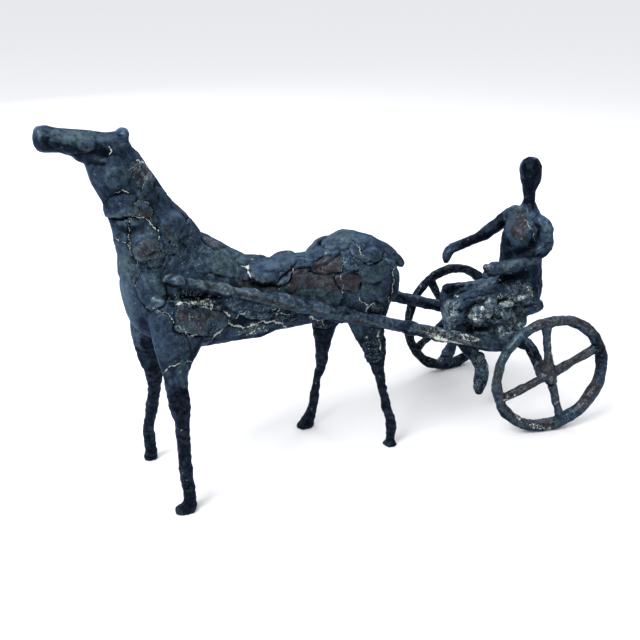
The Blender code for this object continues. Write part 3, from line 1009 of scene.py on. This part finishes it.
    def dent(self, skin: Skin) -> None:
        """Press thumb marks, casting pits, knobs and sand into the skin.

        Args:
            skin: The casting's skin.
        """
        least_sand = 0.12
        self.weigh("limbs", self.limb_share(skin))
        self.weigh("sand", np.clip(least_sand + self.wax.grit, 0, 1))
        for marks, share in ((self.thumbs, ""), (self.pits, "limbs"), (self.knobs, "limbs"),
                             (self.sand, "sand")):
            finish_with(self.piece, "DISPLACE", texture=marks.texture(), strength=marks.depth,
                        mid_level=0.5, vertex_group=share)

    def limb_share(self, skin: Skin) -> np.ndarray:
        """Return how much each vertex takes casting pits and knobs, from 0 to 1."""
        return np.full(len(skin.points), self.pitted)

    def weigh(self, name: str, values: np.ndarray) -> None:
        """Put values into a vertex group, in twenty steps.

        Args:
            name: The group's name.
            values: One value for each vertex, from 0 to 1.
        """
        steps = 20
        group = self.piece.vertex_groups.new(name=name)
        levels = np.round(values * steps).astype(int)
        for level in range(1, steps + 1):
            members = np.flatnonzero(levels == level)
            if len(members):
                group.add(members.tolist(), level / steps, "REPLACE")

    def mark_skin(self) -> None:
        """Keep the piece in its box and store the marks that its material reads."""
        self.piece.vertex_groups.clear()
        skin = Skin(self.piece)
        lowest, highest = (np.array(corner) for corner in CAD_BOX)
        skin.points = np.clip(skin.points, lowest, highest)
        skin.write()
        # Crevice depth paints shade into hollows and roughens them; ridge height lets raised places
        # wear bright.
        fine_depth, broad_depth, share, plain = 0.13 * MM, 0.60 * MM, 0.6, 0.15
        fine, broad = skin.hollows(3) / fine_depth, skin.hollows(18) / broad_depth
        depth = skin.averaged(share * fine + share * broad, 1)
        wax = self.wax
        for mark, values in ((Mark.CREVICE, np.clip(depth - plain, 0, 1)),
                             (Mark.RIDGE, np.clip(-depth - plain, 0, 1)),
                             (Mark.RUBBED, wax.rubbed), (Mark.SEAM, np.clip(wax.seam, 0, 1)),
                             (Mark.TONE, wax.tone), (Mark.RESIDUE, wax.residue),
                             (Mark.DRAWN, wax.drawn), (Mark.TRACE, wax.trace),
                             (Mark.GRIT, wax.grit)):
            skin.keep(mark, values)

    def dress(self, effects: PatinaEffects) -> None:
        """Give the piece its patina and set it in its node's place.

        Args:
            effects: The node groups that all patinas share.
        """
        self.piece.data.materials.clear()
        self.piece.data.materials.append(self.patina.build(effects))
        self.piece.data.shade_smooth()
        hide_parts(self.node)
        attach(self.piece, BODY)


def ripple(places: np.ndarray) -> np.ndarray:
    """Make small offsets by which drawn lines waver.

    Args:
        places: Places in the photograph's pixels, one row each.

    Returns:
        Each place's offset in pixels.
    """
    across, down = places[:, 0], places[:, 1]
    shift = 0.8 * np.sin(0.53 * down + 1.7 * np.sin(0.31 * across))
    lift = 0.8 * np.sin(0.61 * across + 1.9 * np.sin(0.27 * down))
    tremble = 0.25 * np.sin(1.3 * across + 0.9 * down)
    return np.stack([shift + tremble, lift - tremble], 1)


def waver(long: np.ndarray, wide: np.ndarray, seed: float) -> np.ndarray:
    """Make an oval's edge waver like torn wax.

    Args:
        long: Places along the oval, as shares of its half length.
        wide: Places across it, as shares of its half height.
        seed: What sets this oval's edge apart from others.

    Returns:
        A factor near 1 for each place's distance from the middle.
    """
    angle = np.arctan2(wide, long)
    factor = np.ones_like(angle)
    for waves, size in ((2, 0.07), (3, 0.07), (5, 0.05), (8, 0.03)):
        factor += size * np.sin(waves * angle + seed * waves * 1.7)
    return factor


@dataclass
class HorseCasting(Casting):
    """The horse: pats of wax over the body and neck, pitted and lumpy legs."""

    scattered: int = 170
    smallest: float = 8 * MM
    largest: float = 16 * MM
    slimness: tuple[float, float] = (0.55, 0.95)
    thinnest: float = 0.25
    thickest: float = 0.7
    gritty_share: float = 0.2
    grittiness: float = 0.6
    apart: float = 12 * MM
    seed: int = 7
    lowest_pat: float = 0.36
    muzzle_length: float = 0.060
    lumpy_legs: tuple[float, float] = (0.120, 0.085)
    dark_legs: tuple[float, float] = (0.112, 0.084)
    leg_tone: float = 0.03
    leg_grit: float = 0.12

    def limb_share(self, skin: Skin) -> np.ndarray:
        """Return 1 on the legs, fading out over the body."""
        return smooth_step(*self.lumpy_legs, skin.points[:, 2])

    def tint(self, skin: Skin) -> None:
        """Darken the legs before the photograph's own tones are laid.

        Args:
            skin: The horse's skin.
        """
        legs = smooth_step(*self.dark_legs, skin.points[:, 2])
        self.wax.tone += (self.leg_tone - self.wax.tone) * legs
        self.wax.grit = np.maximum(self.wax.grit, self.leg_grit * legs)
        super().tint(skin)

    def press(self, skin: Skin) -> None:
        """Scatter pats over the body, then press the photograph's own on top.

        Args:
            skin: The horse's skin.
        """
        remembered, refused = 120, 0.85
        dice = random.Random(self.seed)
        lowest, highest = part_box(self.node)
        candidates = np.flatnonzero(skin.points[:, 2] > self.lowest_pat * highest.z)
        muzzle = skin.points[:, 0] < lowest.x + self.muzzle_length
        placed: list[np.ndarray] = []
        while len(placed) < self.scattered:
            index = candidates[dice.randrange(len(candidates))]
            point = skin.points[index]
            crowded = any(np.linalg.norm(other - point) < self.apart
                          for other in placed[-remembered:])
            if crowded and dice.random() < refused:
                continue
            placed.append(point)
            if not muzzle[index]:
                self.scatter(skin, index, dice)
        super().press(skin)

    def scatter(self, skin: Skin, index: int, dice: random.Random) -> None:
        """Press one pat of chance size, turn and tone at a vertex.

        Args:
            skin: The horse's skin.
            index: The vertex at the pat's middle.
            dice: The run of chances to draw from.
        """
        centre, normal = skin.points[index], skin.normals[index]
        along = np.cross(normal, (0.0, 0.0, 1.0)) + 1e-4
        along /= np.linalg.norm(along)
        up = np.cross(along, normal)
        turn = dice.uniform(0, math.pi)
        half_length = dice.uniform(self.smallest, self.largest)
        half_height = half_length * dice.uniform(*self.slimness)
        offset = skin.points - centre
        reach, depth, least_alike = 1.3 * self.largest, 0.6 * self.largest, 0.1
        near = (np.abs(offset).max(1) < reach) & (np.abs(offset @ normal) < depth)
        near &= (skin.normals @ normal) > least_alike
        offset = offset[near]
        first, second = offset @ along, offset @ up
        long = (first * math.cos(turn) + second * math.sin(turn)) / half_length
        wide = (second * math.cos(turn) - first * math.sin(turn)) / half_height
        away = oval_reach(long, wide, squareness=2.4) * waver(long, wide, index)
        edge = (1 - away) * half_height
        lip = math.radians(dice.gauss(-90, 55))
        tilt = (first * math.cos(lip) + second * math.sin(lip)) / half_length
        tone = dice.choices((Tone.DARK, Tone.BLUE, Tone.TEAL, Tone.BROWN), (2, 6, 3, 3))[0]
        thickness = dice.uniform(self.thinnest, self.thickest) * MM
        grit = self.grittiness if dice.random() < self.gritty_share else 0.0
        self.wax.lay(near, away, edge, np.clip(tilt, -1, 1), thickness, tone, grit)


HORSE = HorseCasting(
    node="horse", slot="horse_bronze", grain=1.0 * MM, boldness=1.2,
    patina=Patina("horse bronze patina", speckle=(0.17, 0.25, 0.29)),
    pats=(
        Pat(72, 139, 26, 13, 6, 0.4, Tone.TEAL, 90),
        Pat(112, 180, 17, 24, -20, 0.15, Tone.TEAL, 180),
        Pat(143, 176, 9, 16, -20, 0.7, Tone.BROWN, 0, 0.7),
        Pat(166, 212, 10, 34, -32, 0.9, Tone.BLUE, 20),
        Pat(198, 233, 18, 15, 35, 0.9, Tone.BLUE, 200, 0.3),
        Pat(121, 206, 17, 13, 0, 1.5, Tone.TEAL, 90),
        Pat(143, 209, 9.5, 9, 0, 0.8, Tone.BROWN, 120),
        Pat(120, 233, 10, 13, 10, 0.9, Tone.TEAL, 60),
        Pat(144, 240, 16, 21, -8, 1.1, Tone.BLUE, 110),
        Pat(147, 250, 12, 11, -20, 0.7, Tone.BROWN, 90),
        Pat(128, 283, 15, 40, -8, 0.6, Tone.TEAL, 180),
        Pat(155, 259, 9, 8, 0, 0.7, Tone.BROWN, 90),
        Pat(152, 288, 15, 20, -10, 0.8, Tone.TEAL, 90),
        Pat(164, 338, 20, 27, -20, 0.4, Tone.BLUE, 0),
        Pat(197, 300, 27, 11, 8, -1.8, Tone.DARK, -90, 0.8),
        Pat(200, 321, 26, 14, 6, 1.5, Tone.BROWN, 90, 0.5),
        Pat(251, 306, 26, 11, 8, 0.7, Tone.TEAL, 90, 0.8),
        Pat(249, 331, 36, 8.5, -12, 1.2, Tone.BROWN, 90),
        Pat(303, 316, 30, 11, 10, 0.8, Tone.DARK, 90, 0.6),
        Pat(222, 243, 20, 10, 28, 0.8, Tone.BROWN, 60),
        Pat(232, 264, 22, 14, 10, 0.5, Tone.TEAL, 90, 0.5),
        Pat(313, 284, 24, 12, 4, 0.5, Tone.BROWN, 90, 0.2),
        Pat(318, 300, 26, 10, 8, 0.8, Tone.TEAL, 90, 0.3),
        Pat(375, 280, 15, 22, 8, 0.35, Tone.TEAL, 60, 0.3),
        Pat(352, 300, 20, 12, 8, 0.4, Tone.TEAL, 60, 0.3),
        Pat(349, 281, 12, 10, 20, 0.7, Tone.BROWN, 120, 0.2),
        Pat(298, 257, 42, 12, -13, 1.3, Tone.BLUE, 90),
        Pat(328, 265, 15, 9, -6, 0.7, Tone.BROWN, 90),
        Pat(271, 270, 21, 16, -8, 1.7, Tone.BLUE, 70),
        Pat(342, 240, 18, 10, -6, 0.6, Tone.TEAL, 180),
        Pat(368, 246, 17, 16, 14, 0.9, Tone.BLUE, 80),
        Pat(374, 345, 13, 18, 8, 0.8, Tone.TEAL, 60, 0.6),
        Pat(45.5, 139.5, 4.5, 3.6, 10, -0.15, Tone.DARK, 0),
    ),
    lines=(
        Line(((84, 144), (86, 147), (85, 150)), 0.0, 0.5, 0.7),
        Line(((109, 146), (111, 150), (110, 154)), 0.9, 0.3, 0.9),
        Line(((119, 136), (127, 134)), 0.0, 0.4, 0.5),
        Line(((119, 139), (127, 138)), 0.0, 0.4, 0.5),
        Line(((119, 143), (128, 142)), 0.0, 0.4, 0.5),
        Line(((137, 160), (141, 161), (145, 165), (147, 168)), 1.0, 0.3, 1.0),
        Line(((147, 168), (145, 178), (142, 187), (146, 198)), 0.6, 0.5, 0.5),
        Line(((116, 193), (122, 191), (129, 192)), 0.9, 0.3, 0.9),
        Line(((134, 203), (140, 200), (148, 202), (152, 210), (151, 219)), 0.75, 0.5, 0.5),
        # Bare dark line: painted shadow beneath the neck pat.
        Line(((112, 220), (120, 219), (131, 217)), 0.0, 1.2, 1.2),
        Line(((122, 219), (134, 217), (142, 217), (148, 221), (153, 226), (159, 231), (158, 238)),
             1.0, 0.6, 0.8),
        Line(((129, 221), (129, 237), (131, 254), (137, 263)), 0.9, 0.7, 0.6),
        Line(((117, 238), (123, 242), (129, 247)), 0.9, 0.6, 0.6),
        Line(((137, 263), (138, 275), (134, 290)), 0.5, 0.5, 0.5),
        Line(((146, 308), (155, 309), (167, 314), (175, 323), (186, 331)), 0.85, 0.6, 0.5),
        Line(((184, 331), (188, 336), (196, 335)), 0.9, 0.4, 1.0),
        Line(((176, 306), (182, 302), (188, 304)), 1.0, 0.2, 0.9),
        Line(((196, 303), (204, 301), (209, 300), (213, 309), (203, 307)), 1.0, 0.2, 1.1),
        Line(((212, 339), (228, 324), (230, 318), (225, 312)), 0.95, 0.7, 1.0),
        Line(((228, 325), (240, 327), (249, 327), (258, 323), (267, 322), (280, 322), (285, 326)),
             1.0, 0.8, 1.3),
        Line(((249, 333), (258, 325)), 0.8, 0.5, 0.9),
        Line(((236, 318), (246, 311)), 0.9, 0.4, 0.8),
        Line(((242, 266), (247, 267), (250, 274), (252, 280)), 1.0, 0.5, 1.2),
        # Bare dark line: painted shadow beneath the back pat.
        Line(((253, 283), (267, 286), (276, 283), (287, 275), (291, 268)), 0.0, 1.5, 1.2),
        Line(((291, 268), (293, 271), (284, 283), (280, 290)), 0.7, 0.4, 0.6),
        Line(((297, 272), (309, 271), (319, 268), (326, 273), (339, 272)), 0.1, 0.8, 0.6),
        Line(((354, 242), (361, 254), (366, 261)), 0.95, 0.7, 0.7),
        Line(((366, 262), (376, 263), (382, 260), (384, 254)), 0.0, 1.2, 1.0),
        Line(((346, 259), (340, 273), (343, 289), (342, 295)), 0.7, 0.5, 0.6),
        Line(((359, 298), (363, 303), (368, 304), (366, 310), (372, 304)), 0.95, 0.4, 0.8),
        Line(((309, 315), (314, 319), (321, 319), (324, 324)), 0.95, 0.4, 0.8),
        Line(((274, 309), (280, 308), (276, 313), (284, 313)), 0.9, 0.3, 0.7),
        Line(((393, 268), (393, 285), (388, 302)), 0.8, 0.5, 0.7),
        Line(((378, 332), (379, 340), (380, 348)), 0.95, 0.4, 1.0),
        Line(((165, 371), (172, 366), (180, 364)), 0.8, 0.4, 0.8),
        Line(((186, 362), (193, 361)), 0.7, 0.3, 0.7),
        Line(((176, 362), (180, 350), (184, 336)), 0.1, 0.3, 0.6),
        Line(((187, 357), (188, 345), (190, 338)), 0.1, 0.3, 0.6),
    ),
    lumps=(
        Lump(376, 309, 7, 6, 0, 0.2), Lump(367, 337, 2.6, 2.6), Lump(369.6, 348, 2.4, 2.4),
        Lump(377, 354, 6, 4, 10, 0.5), Lump(96, 157, 13, 6, 22, 0.55),
    ),
    grit=(
        Patch(200, 248, 38, 26, 0.5, 25), Patch(246, 255, 18, 14, 0.5),
        Patch(160, 250, 14, 10, 0.6), Patch(190, 298, 24, 12, 0.9), Patch(137, 170, 10, 14, 0.8),
        Patch(290, 290, 40, 10, 0.5, 10), Patch(150, 262, 30, 12, 0.5),
    ),
    tones=(
        (Patch(250, 305, 60, 18, 0.2, 10), Tone.DARK), (Patch(128, 300, 12, 40, 0.5), Tone.TEAL),
        # The second dark patch is painted shade under the jaw.
        (Patch(60, 148, 26, 7, 0.9, 6), Tone.DARK), (Patch(97, 150, 14, 8, 0.4, 25), Tone.DARK),
        (Patch(388, 300, 10, 26, 0.6), Tone.DARK), (Patch(186, 301, 18, 9, 0.9), Tone.DARK),
        (Patch(372, 335, 12, 20, 0.8), Tone.DARK),
    ),
    # Painted highlights, brightened toward the steel colour.
    rubbed=(
        Patch(70, 136, 26, 7, 0.8, 8), Patch(102, 138, 16, 6, 0.35, 4),
        Patch(124, 290, 12, 55, 0.55, -6), Patch(271, 266, 18, 9, 0.4, -8),
        Patch(300, 254, 38, 7, 0.45, -12), Patch(345, 239, 26, 7, 0.45, 5),
        Patch(144, 236, 14, 16, 0.25), Patch(215, 262, 26, 16, 0.3, 20),
    ),
    residue=(
        Patch(247, 268, 3.0, 2.2, 1.0), Patch(142, 162, 4, 2, 0.9, 20),
        Patch(367, 337, 1.8, 2, 0.9), Patch(369, 348, 1.5, 1.5, 0.9), Patch(199, 303, 17, 5, 0.885),
        Patch(252, 330, 32, 6, 0.83, -10), Patch(200, 320, 24, 11, 0.815),
        Patch(155, 262, 12, 6, 0.81), Patch(190, 262, 20, 8, 0.80, 20),
        Patch(360, 304, 12, 6, 0.80), Patch(315, 320, 14, 5, 0.80),
    ),
)

SULKY = Casting(
    node="sulky", slot="sulky_bronze", grain=0.71 * MM,
    patina=Patina("sulky bronze patina", brown=(0.023, 0.020, 0.023),
                  steel=(0.115, 0.155, 0.180), wear=0.8, drift=0.45),
    thumbs=Dent("CLOUDS", 10 * MM, 1.2 * MM), pits=Dent("VORONOI", 4 * MM, 0.6 * MM),
    knobs=Dent("CLOUDS", 3.5 * MM, 0.7 * MM),
    lumps=(
        Lump(478, 312, 17, 11, -8, 0.0), Lump(473, 306, 8, 7, 0, -0.9),
        Lump(490, 302, 7, 8, 0, -0.9), Lump(463, 318, 6, 8, 0, -0.5),
        Lump(477, 321, 7, 6, 20, -0.9), Lump(486, 313, 5, 4, 0, -1.0),
        Lump(505, 305, 9, 4.5, -8, -0.6), Lump(518, 303, 7, 4, -8, -0.3),
        Lump(534, 304, 5, 4.5, 0, 0.2), Lump(500, 331, 4, 9, -15, -0.2),
        Lump(511, 322, 5, 10, 5, -0.1), Lump(511, 335, 8, 4), Lump(483, 334, 9, 4, 10),
        Lump(519, 327, 4, 6), Lump(538, 366, 4, 5, 0, 0.2), Lump(176, 281, 10, 7, 10, 0.6),
        Lump(196, 285, 12, 6.5, 10, 0.7), Lump(222, 289.5, 14, 7.5, 12, 0.7),
        Lump(250, 294.5, 15, 7, 12, 0.7), Lump(282, 300, 16, 7.5, 12, 0.7),
        Lump(316, 307.5, 15, 7, 12, 0.7), Lump(346, 314, 14, 7.5, 12, 0.7),
        Lump(378, 321, 16, 7, 12, 0.7), Lump(410, 328, 14, 7.5, 13, 0.7),
        Lump(440, 335.5, 14, 7, 14, 0.7),
    ),
    grit=(Patch(450, 338, 34, 10, 0.9, 18), Patch(495, 316, 38, 24, 0.9)),
    tones=(
        (Patch(450, 337, 40, 5, 1.0, 16), Tone.BROWN),
        (Patch(245, 297, 66, 7, 1.0, 16), Tone.BROWN),
        # The dark strips along the shaft's lower edge are painted shade.
        (Patch(350, 324, 54, 8, 0.9, 13), Tone.BROWN), (Patch(360, 331, 62, 4, 0.9, 13), Tone.DARK),
        (Patch(235, 300, 66, 4.5, 0.9, 13), Tone.DARK), (Patch(495, 318, 40, 26, 0.9), Tone.TEAL),
        (Patch(497, 317, 10, 3.5, 1.0), Tone.DARK), (Patch(470, 328, 12, 6, 0.7), Tone.DARK),
        (Patch(532, 352, 12, 6, 0.9, 15), Tone.DARK), (Patch(516, 328, 6, 12, 0.7), Tone.DARK),
        (Patch(483, 307.5, 1.6, 1.6, 1.0), Tone.DARK),
    ),
    residue=(
        Patch(452, 343, 34, 3.5, 0.93, 18), Patch(473, 317, 9, 5, 0.89),
        Patch(501, 331, 5, 10, 0.87, -15), Patch(538, 367, 5, 7, 0.86),
        Patch(228, 293, 2.0, 1.2, 0.92), Patch(275, 301, 1.2, 1.8, 0.92),
        Patch(510, 304, 20, 6, 0.85, -8), Patch(534, 304, 5, 5, 0.87),
        Patch(482.5, 308, 3.5, 3.5, 0.93), Patch(215, 285, 40, 3, 0.80, 16),
        Patch(300, 308, 40, 3, 0.79, 15), Patch(484, 316, 14, 4, 0.88),
        Patch(470, 338, 20, 5, 0.88, 15), Patch(430, 334, 20, 3, 0.88, 16),
    ),
    # Painted highlights, brightened toward the steel colour.
    rubbed=(
        Patch(501, 331, 5, 10, 1.0, -15), Patch(240, 289, 40, 4, 0.4, 14),
        Patch(538, 367, 5, 7, 0.9), Patch(508, 303, 20, 5, 0.6, -8), Patch(489, 300, 6, 6, 0.7),
        Patch(471, 303, 7, 5, 0.5), Patch(466, 320, 10, 9, 0.4), Patch(510, 316, 6, 6, 0.4),
    ),
    base_tone=Tone.BLUE, base_grit=0.15,
)

DRIVER = Casting(
    node="driver", slot="driver_bronze", grain=0.65 * MM,
    patina=Patina("driver bronze patina", teal=(0.022, 0.037, 0.050), brown=(0.027, 0.026, 0.031)),
    thumbs=Dent("CLOUDS", 8 * MM, 0.8 * MM), pits=Dent("VORONOI", 5 * MM, 0.4 * MM),
    knobs=Dent("CLOUDS", 4 * MM, 0.5 * MM),
    lumps=(
        Lump(487, 268, 4.5, 4), Lump(486, 275, 4, 4), Lump(522, 297, 12, 4, -8, 0.1),
        Lump(448, 288, 6, 4.5), Lump(459, 285, 5, 3), Lump(468, 284.5, 5, 2.5),
        Lump(456, 293, 5, 4), Lump(450, 305, 6, 6), Lump(453, 317, 5, 6),
        Lump(460, 305, 6, 7, 0, 0.3), Lump(459, 319, 5, 7, 10, 0.2), Lump(494, 283, 6, 4, -15),
        Lump(527, 287, 6, 5, -20), Lump(477, 387, 4, 5), Lump(480, 357, 5, 6), Lump(481, 371, 5, 7),
        Lump(447, 352, 6, 5, -35), Lump(441, 361, 4, 4),
    ),
    grit=(
        Patch(505, 302, 34, 10, 1.0), Patch(480, 360, 12, 40, 0.7), Patch(500, 268, 20, 8, 0.45),
        Patch(450, 315, 10, 20, 1.0), Patch(520, 290, 18, 10, 0.8),
    ),
    tones=(
        (Patch(531, 170, 12, 16, 0.9), Tone.DARK), (Patch(528, 202, 9, 16, 0.8), Tone.DARK),
        (Patch(500, 218, 18, 12, 0.7, -30), Tone.DARK), (Patch(516, 246, 20, 36, 0.6), Tone.DARK),
        (Patch(518, 224, 14, 20, 1.0), Tone.BROWN), (Patch(478, 240, 26, 10, 0.8, -35), Tone.DARK),
        (Patch(478, 290, 26, 8, 0.9, -18), Tone.BLUE), (Patch(515, 265, 30, 7, 0.8, -8), Tone.TEAL),
        (Patch(450, 288, 11, 5, 0.8), Tone.DARK), (Patch(508, 279, 14, 5, 0.7, -12), Tone.DARK),
        (Patch(512, 303, 22, 7, 0.8, -6), Tone.TEAL), (Patch(450, 313, 9, 16, 0.7), Tone.TEAL),
        (Patch(538, 275, 8, 24, 0.8), Tone.DARK), (Patch(531, 262, 14, 16, 0.6), Tone.DARK),
    ),
    lines=(
        Line(((526, 221), (529, 226), (533, 232), (535, 240)), 0.75, 0.3, 0.6),
        Line(((549, 243), (541, 249), (533, 254)), 0.0, 0.8, 0.8),
        Line(((500, 279), (504, 286), (507, 288)), 0.7, 0.3, 0.5),
        Line(((490, 296), (497, 297), (502, 300), (500, 294)), 0.8, 0.4, 0.6),
        Line(((528, 284), (532, 288), (533, 296)), 0.75, 0.4, 0.6),
        Line(((466, 299), (481, 296), (503, 290)), 0.0, 0.8, 0.9),
    ),
    residue=(
        Patch(516, 299, 20, 5, 0.87, -8), Patch(456, 296, 4, 2.5, 0.89),
        Patch(487.5, 365, 2, 4, 0.92), Patch(441, 358, 5, 6, 0.85), Patch(487, 267, 5, 4, 0.85),
        Patch(519, 205, 7, 4, 0.80), Patch(505, 269, 16, 3, 0.82, -10), Patch(477, 388, 4, 5, 0.82),
        Patch(451, 313, 8, 15, 0.80), Patch(528, 288, 8, 6, 0.84),
    ),
    # Painted highlights, brightened toward the steel colour.
    rubbed=(
        Patch(463, 289, 6, 3, 1.0, -20), Patch(487, 267, 5, 4, 1.0),
        Patch(520, 263, 26, 5, 0.7, -8), Patch(480, 284, 20, 7, 0.9, -15),
        Patch(549, 228, 5, 18, 0.5), Patch(450, 312, 8, 14, 0.7), Patch(520, 298, 16, 4, 0.8, -8),
        Patch(480, 358, 4, 10, 0.5), Patch(519, 206, 8, 4, 0.5),
    ),
    base_tone=Tone.BLUE, base_grit=0.1,
)


def wheel(side: str, drift: float, tone: Tone, tones: tuple[tuple[Patch, Tone], ...],
          residue: tuple[Patch, ...]) -> Casting:
    """Describe one wheel's casting.

    Args:
        side: Which of the horse's sides it is on.
        drift: How far its patina drifts from tone to tone.
        tone: Its main tone.
        tones: Areas of other tones.
        residue: Areas with pale residue.

    Returns:
        The casting, ready to build.
    """
    return Casting(
        node=f"{side}_wheel", slot="wheel_bronze", grain=0.55 * MM,
        patina=Patina(f"{side} wheel bronze patina", wear=0.7, drift=drift, roughness=0.36),
        thumbs=Dent("CLOUDS", 13 * MM, 1.8 * MM), pits=Dent("VORONOI", 4 * MM, 0.5 * MM),
        knobs=Dent("CLOUDS", 4 * MM, 0.6 * MM), base_tone=tone, base_grit=0.4,
        tones=tones, residue=residue)


WHEELS = (
    wheel("left", 0.24, Tone.BROWN,
          ((Patch(602, 355, 10, 30, 0.9), Tone.DARK), (Patch(575, 420, 26, 12, 0.6), Tone.BLUE),
           (Patch(515, 345, 16, 26, 0.7, 30), Tone.BLUE), (Patch(604, 335, 5, 14, 0.8), Tone.DARK)),
          (Patch(518, 408, 9, 22, 0.88, -20), Patch(540, 427, 24, 4, 0.87, 12),
           Patch(506, 398, 5, 6, 0.86), Patch(562, 362, 14, 4, 0.84, -25),
           Patch(551, 352, 4, 20, 0.84), Patch(556, 398, 5, 14, 0.84))),
    wheel("right", 0.3, Tone.DARK, (), (Patch(418, 290, 6, 14, 0.81, 20),)),
)


@dataclass(frozen=True)
class Softbox:
    """A square softbox facing the bronze: place and side in metres, power in watts."""

    name: str
    place: tuple[float, float, float]
    size: float
    power: float
    aim_height: float = 0.12

    def hang(self) -> None:
        """Add the light to the scene."""
        lamp = bpy.data.lights.new(self.name, "AREA")
        lamp.size = self.size
        lamp.energy = self.power
        light = bpy.data.objects.new(self.name, lamp)
        light.location = self.place
        aim = Vector((0, 0, self.aim_height)) - Vector(self.place)
        light.rotation_euler = aim.to_track_quat("-Z", "Y").to_euler()
        bpy.context.scene.collection.objects.link(light)


@dataclass
class Studio:
    """The pale floor and the soft light."""

    floor_size: float = 30.0
    floor_colour: tuple[float, float, float] = (0.62, 0.62, 0.63)
    floor_roughness: float = 0.9
    sky_colour: tuple[float, float, float] = (0.96, 0.98, 1.0)
    zenith: float = 1.9
    horizon: float = 0.15
    backdrop: float = 0.92
    softboxes: tuple[Softbox, ...] = (
        Softbox("key softbox", (-1.1, -0.4, 1.3), 0.8, 34.0),
        Softbox("rim softbox", (0.9, 0.5, 1.0), 0.6, 5.0),
        Softbox("far fill softbox", (-0.3, 1.5, 0.7), 1.0, 9.0),
    )

    def build(self) -> None:
        """Add the floor, the sky and the lights."""
        self.lay_floor()
        self.light_sky()
        for softbox in self.softboxes:
            softbox.hang()
        bpy.context.scene.view_settings.view_transform = "Standard"

    def lay_floor(self) -> None:
        """Add the floor that the bronze stands on."""
        bpy.ops.mesh.primitive_plane_add(size=self.floor_size)
        floor = bpy.context.object
        floor.name = "studio_floor"
        material = bpy.data.materials.new("pale floor")
        material.use_nodes = True
        shader = material.node_tree.nodes["Principled BSDF"]
        shader.inputs["Base Color"].default_value = (*self.floor_colour, 1.0)
        shader.inputs["Roughness"].default_value = self.floor_roughness
        floor.data.materials.append(material)

    def light_sky(self) -> None:
        """Light the bronze with a white sky, strongest overhead, in front of a pale backdrop."""
        world = bpy.data.worlds.new("white sky")
        world.use_nodes = True
        nodes, links = world.node_tree.nodes, world.node_tree.links
        around = nodes.new("ShaderNodeTexCoord")
        split = nodes.new("ShaderNodeSeparateXYZ")
        rise = nodes.new("ShaderNodeMapRange")
        rise.inputs["To Min"].default_value = self.horizon
        rise.inputs["To Max"].default_value = self.zenith
        links.new(around.outputs["Generated"], split.inputs["Vector"])
        links.new(split.outputs["Z"], rise.inputs["Value"])
        looked_at = nodes.new("ShaderNodeLightPath")
        strength = nodes.new("ShaderNodeMix")
        strength.inputs["B"].default_value = self.backdrop
        links.new(looked_at.outputs["Is Camera Ray"], strength.inputs["Factor"])
        links.new(rise.outputs["Result"], strength.inputs["A"])
        links.new(strength.outputs["Result"], nodes["Background"].inputs["Strength"])
        nodes["Background"].inputs["Color"].default_value = (*self.sky_colour, 1.0)
        bpy.context.scene.world = world


def main() -> None:
    """Build the castings, the studio and the camera."""
    logging.basicConfig(level=logging.INFO, format="%(message)s")
    for node in frame["nodes"].values():
        node.select_set(False)
    CAMERA.build()
    effects = PatinaEffects()
    for casting in (HORSE, SULKY, DRIVER, *WHEELS):
        piece = casting.build(effects)
        LOG.info("%s: %d faces", piece.name, len(piece.data.polygons))
    Studio().build()


if __name__ == "__main__":
    main()
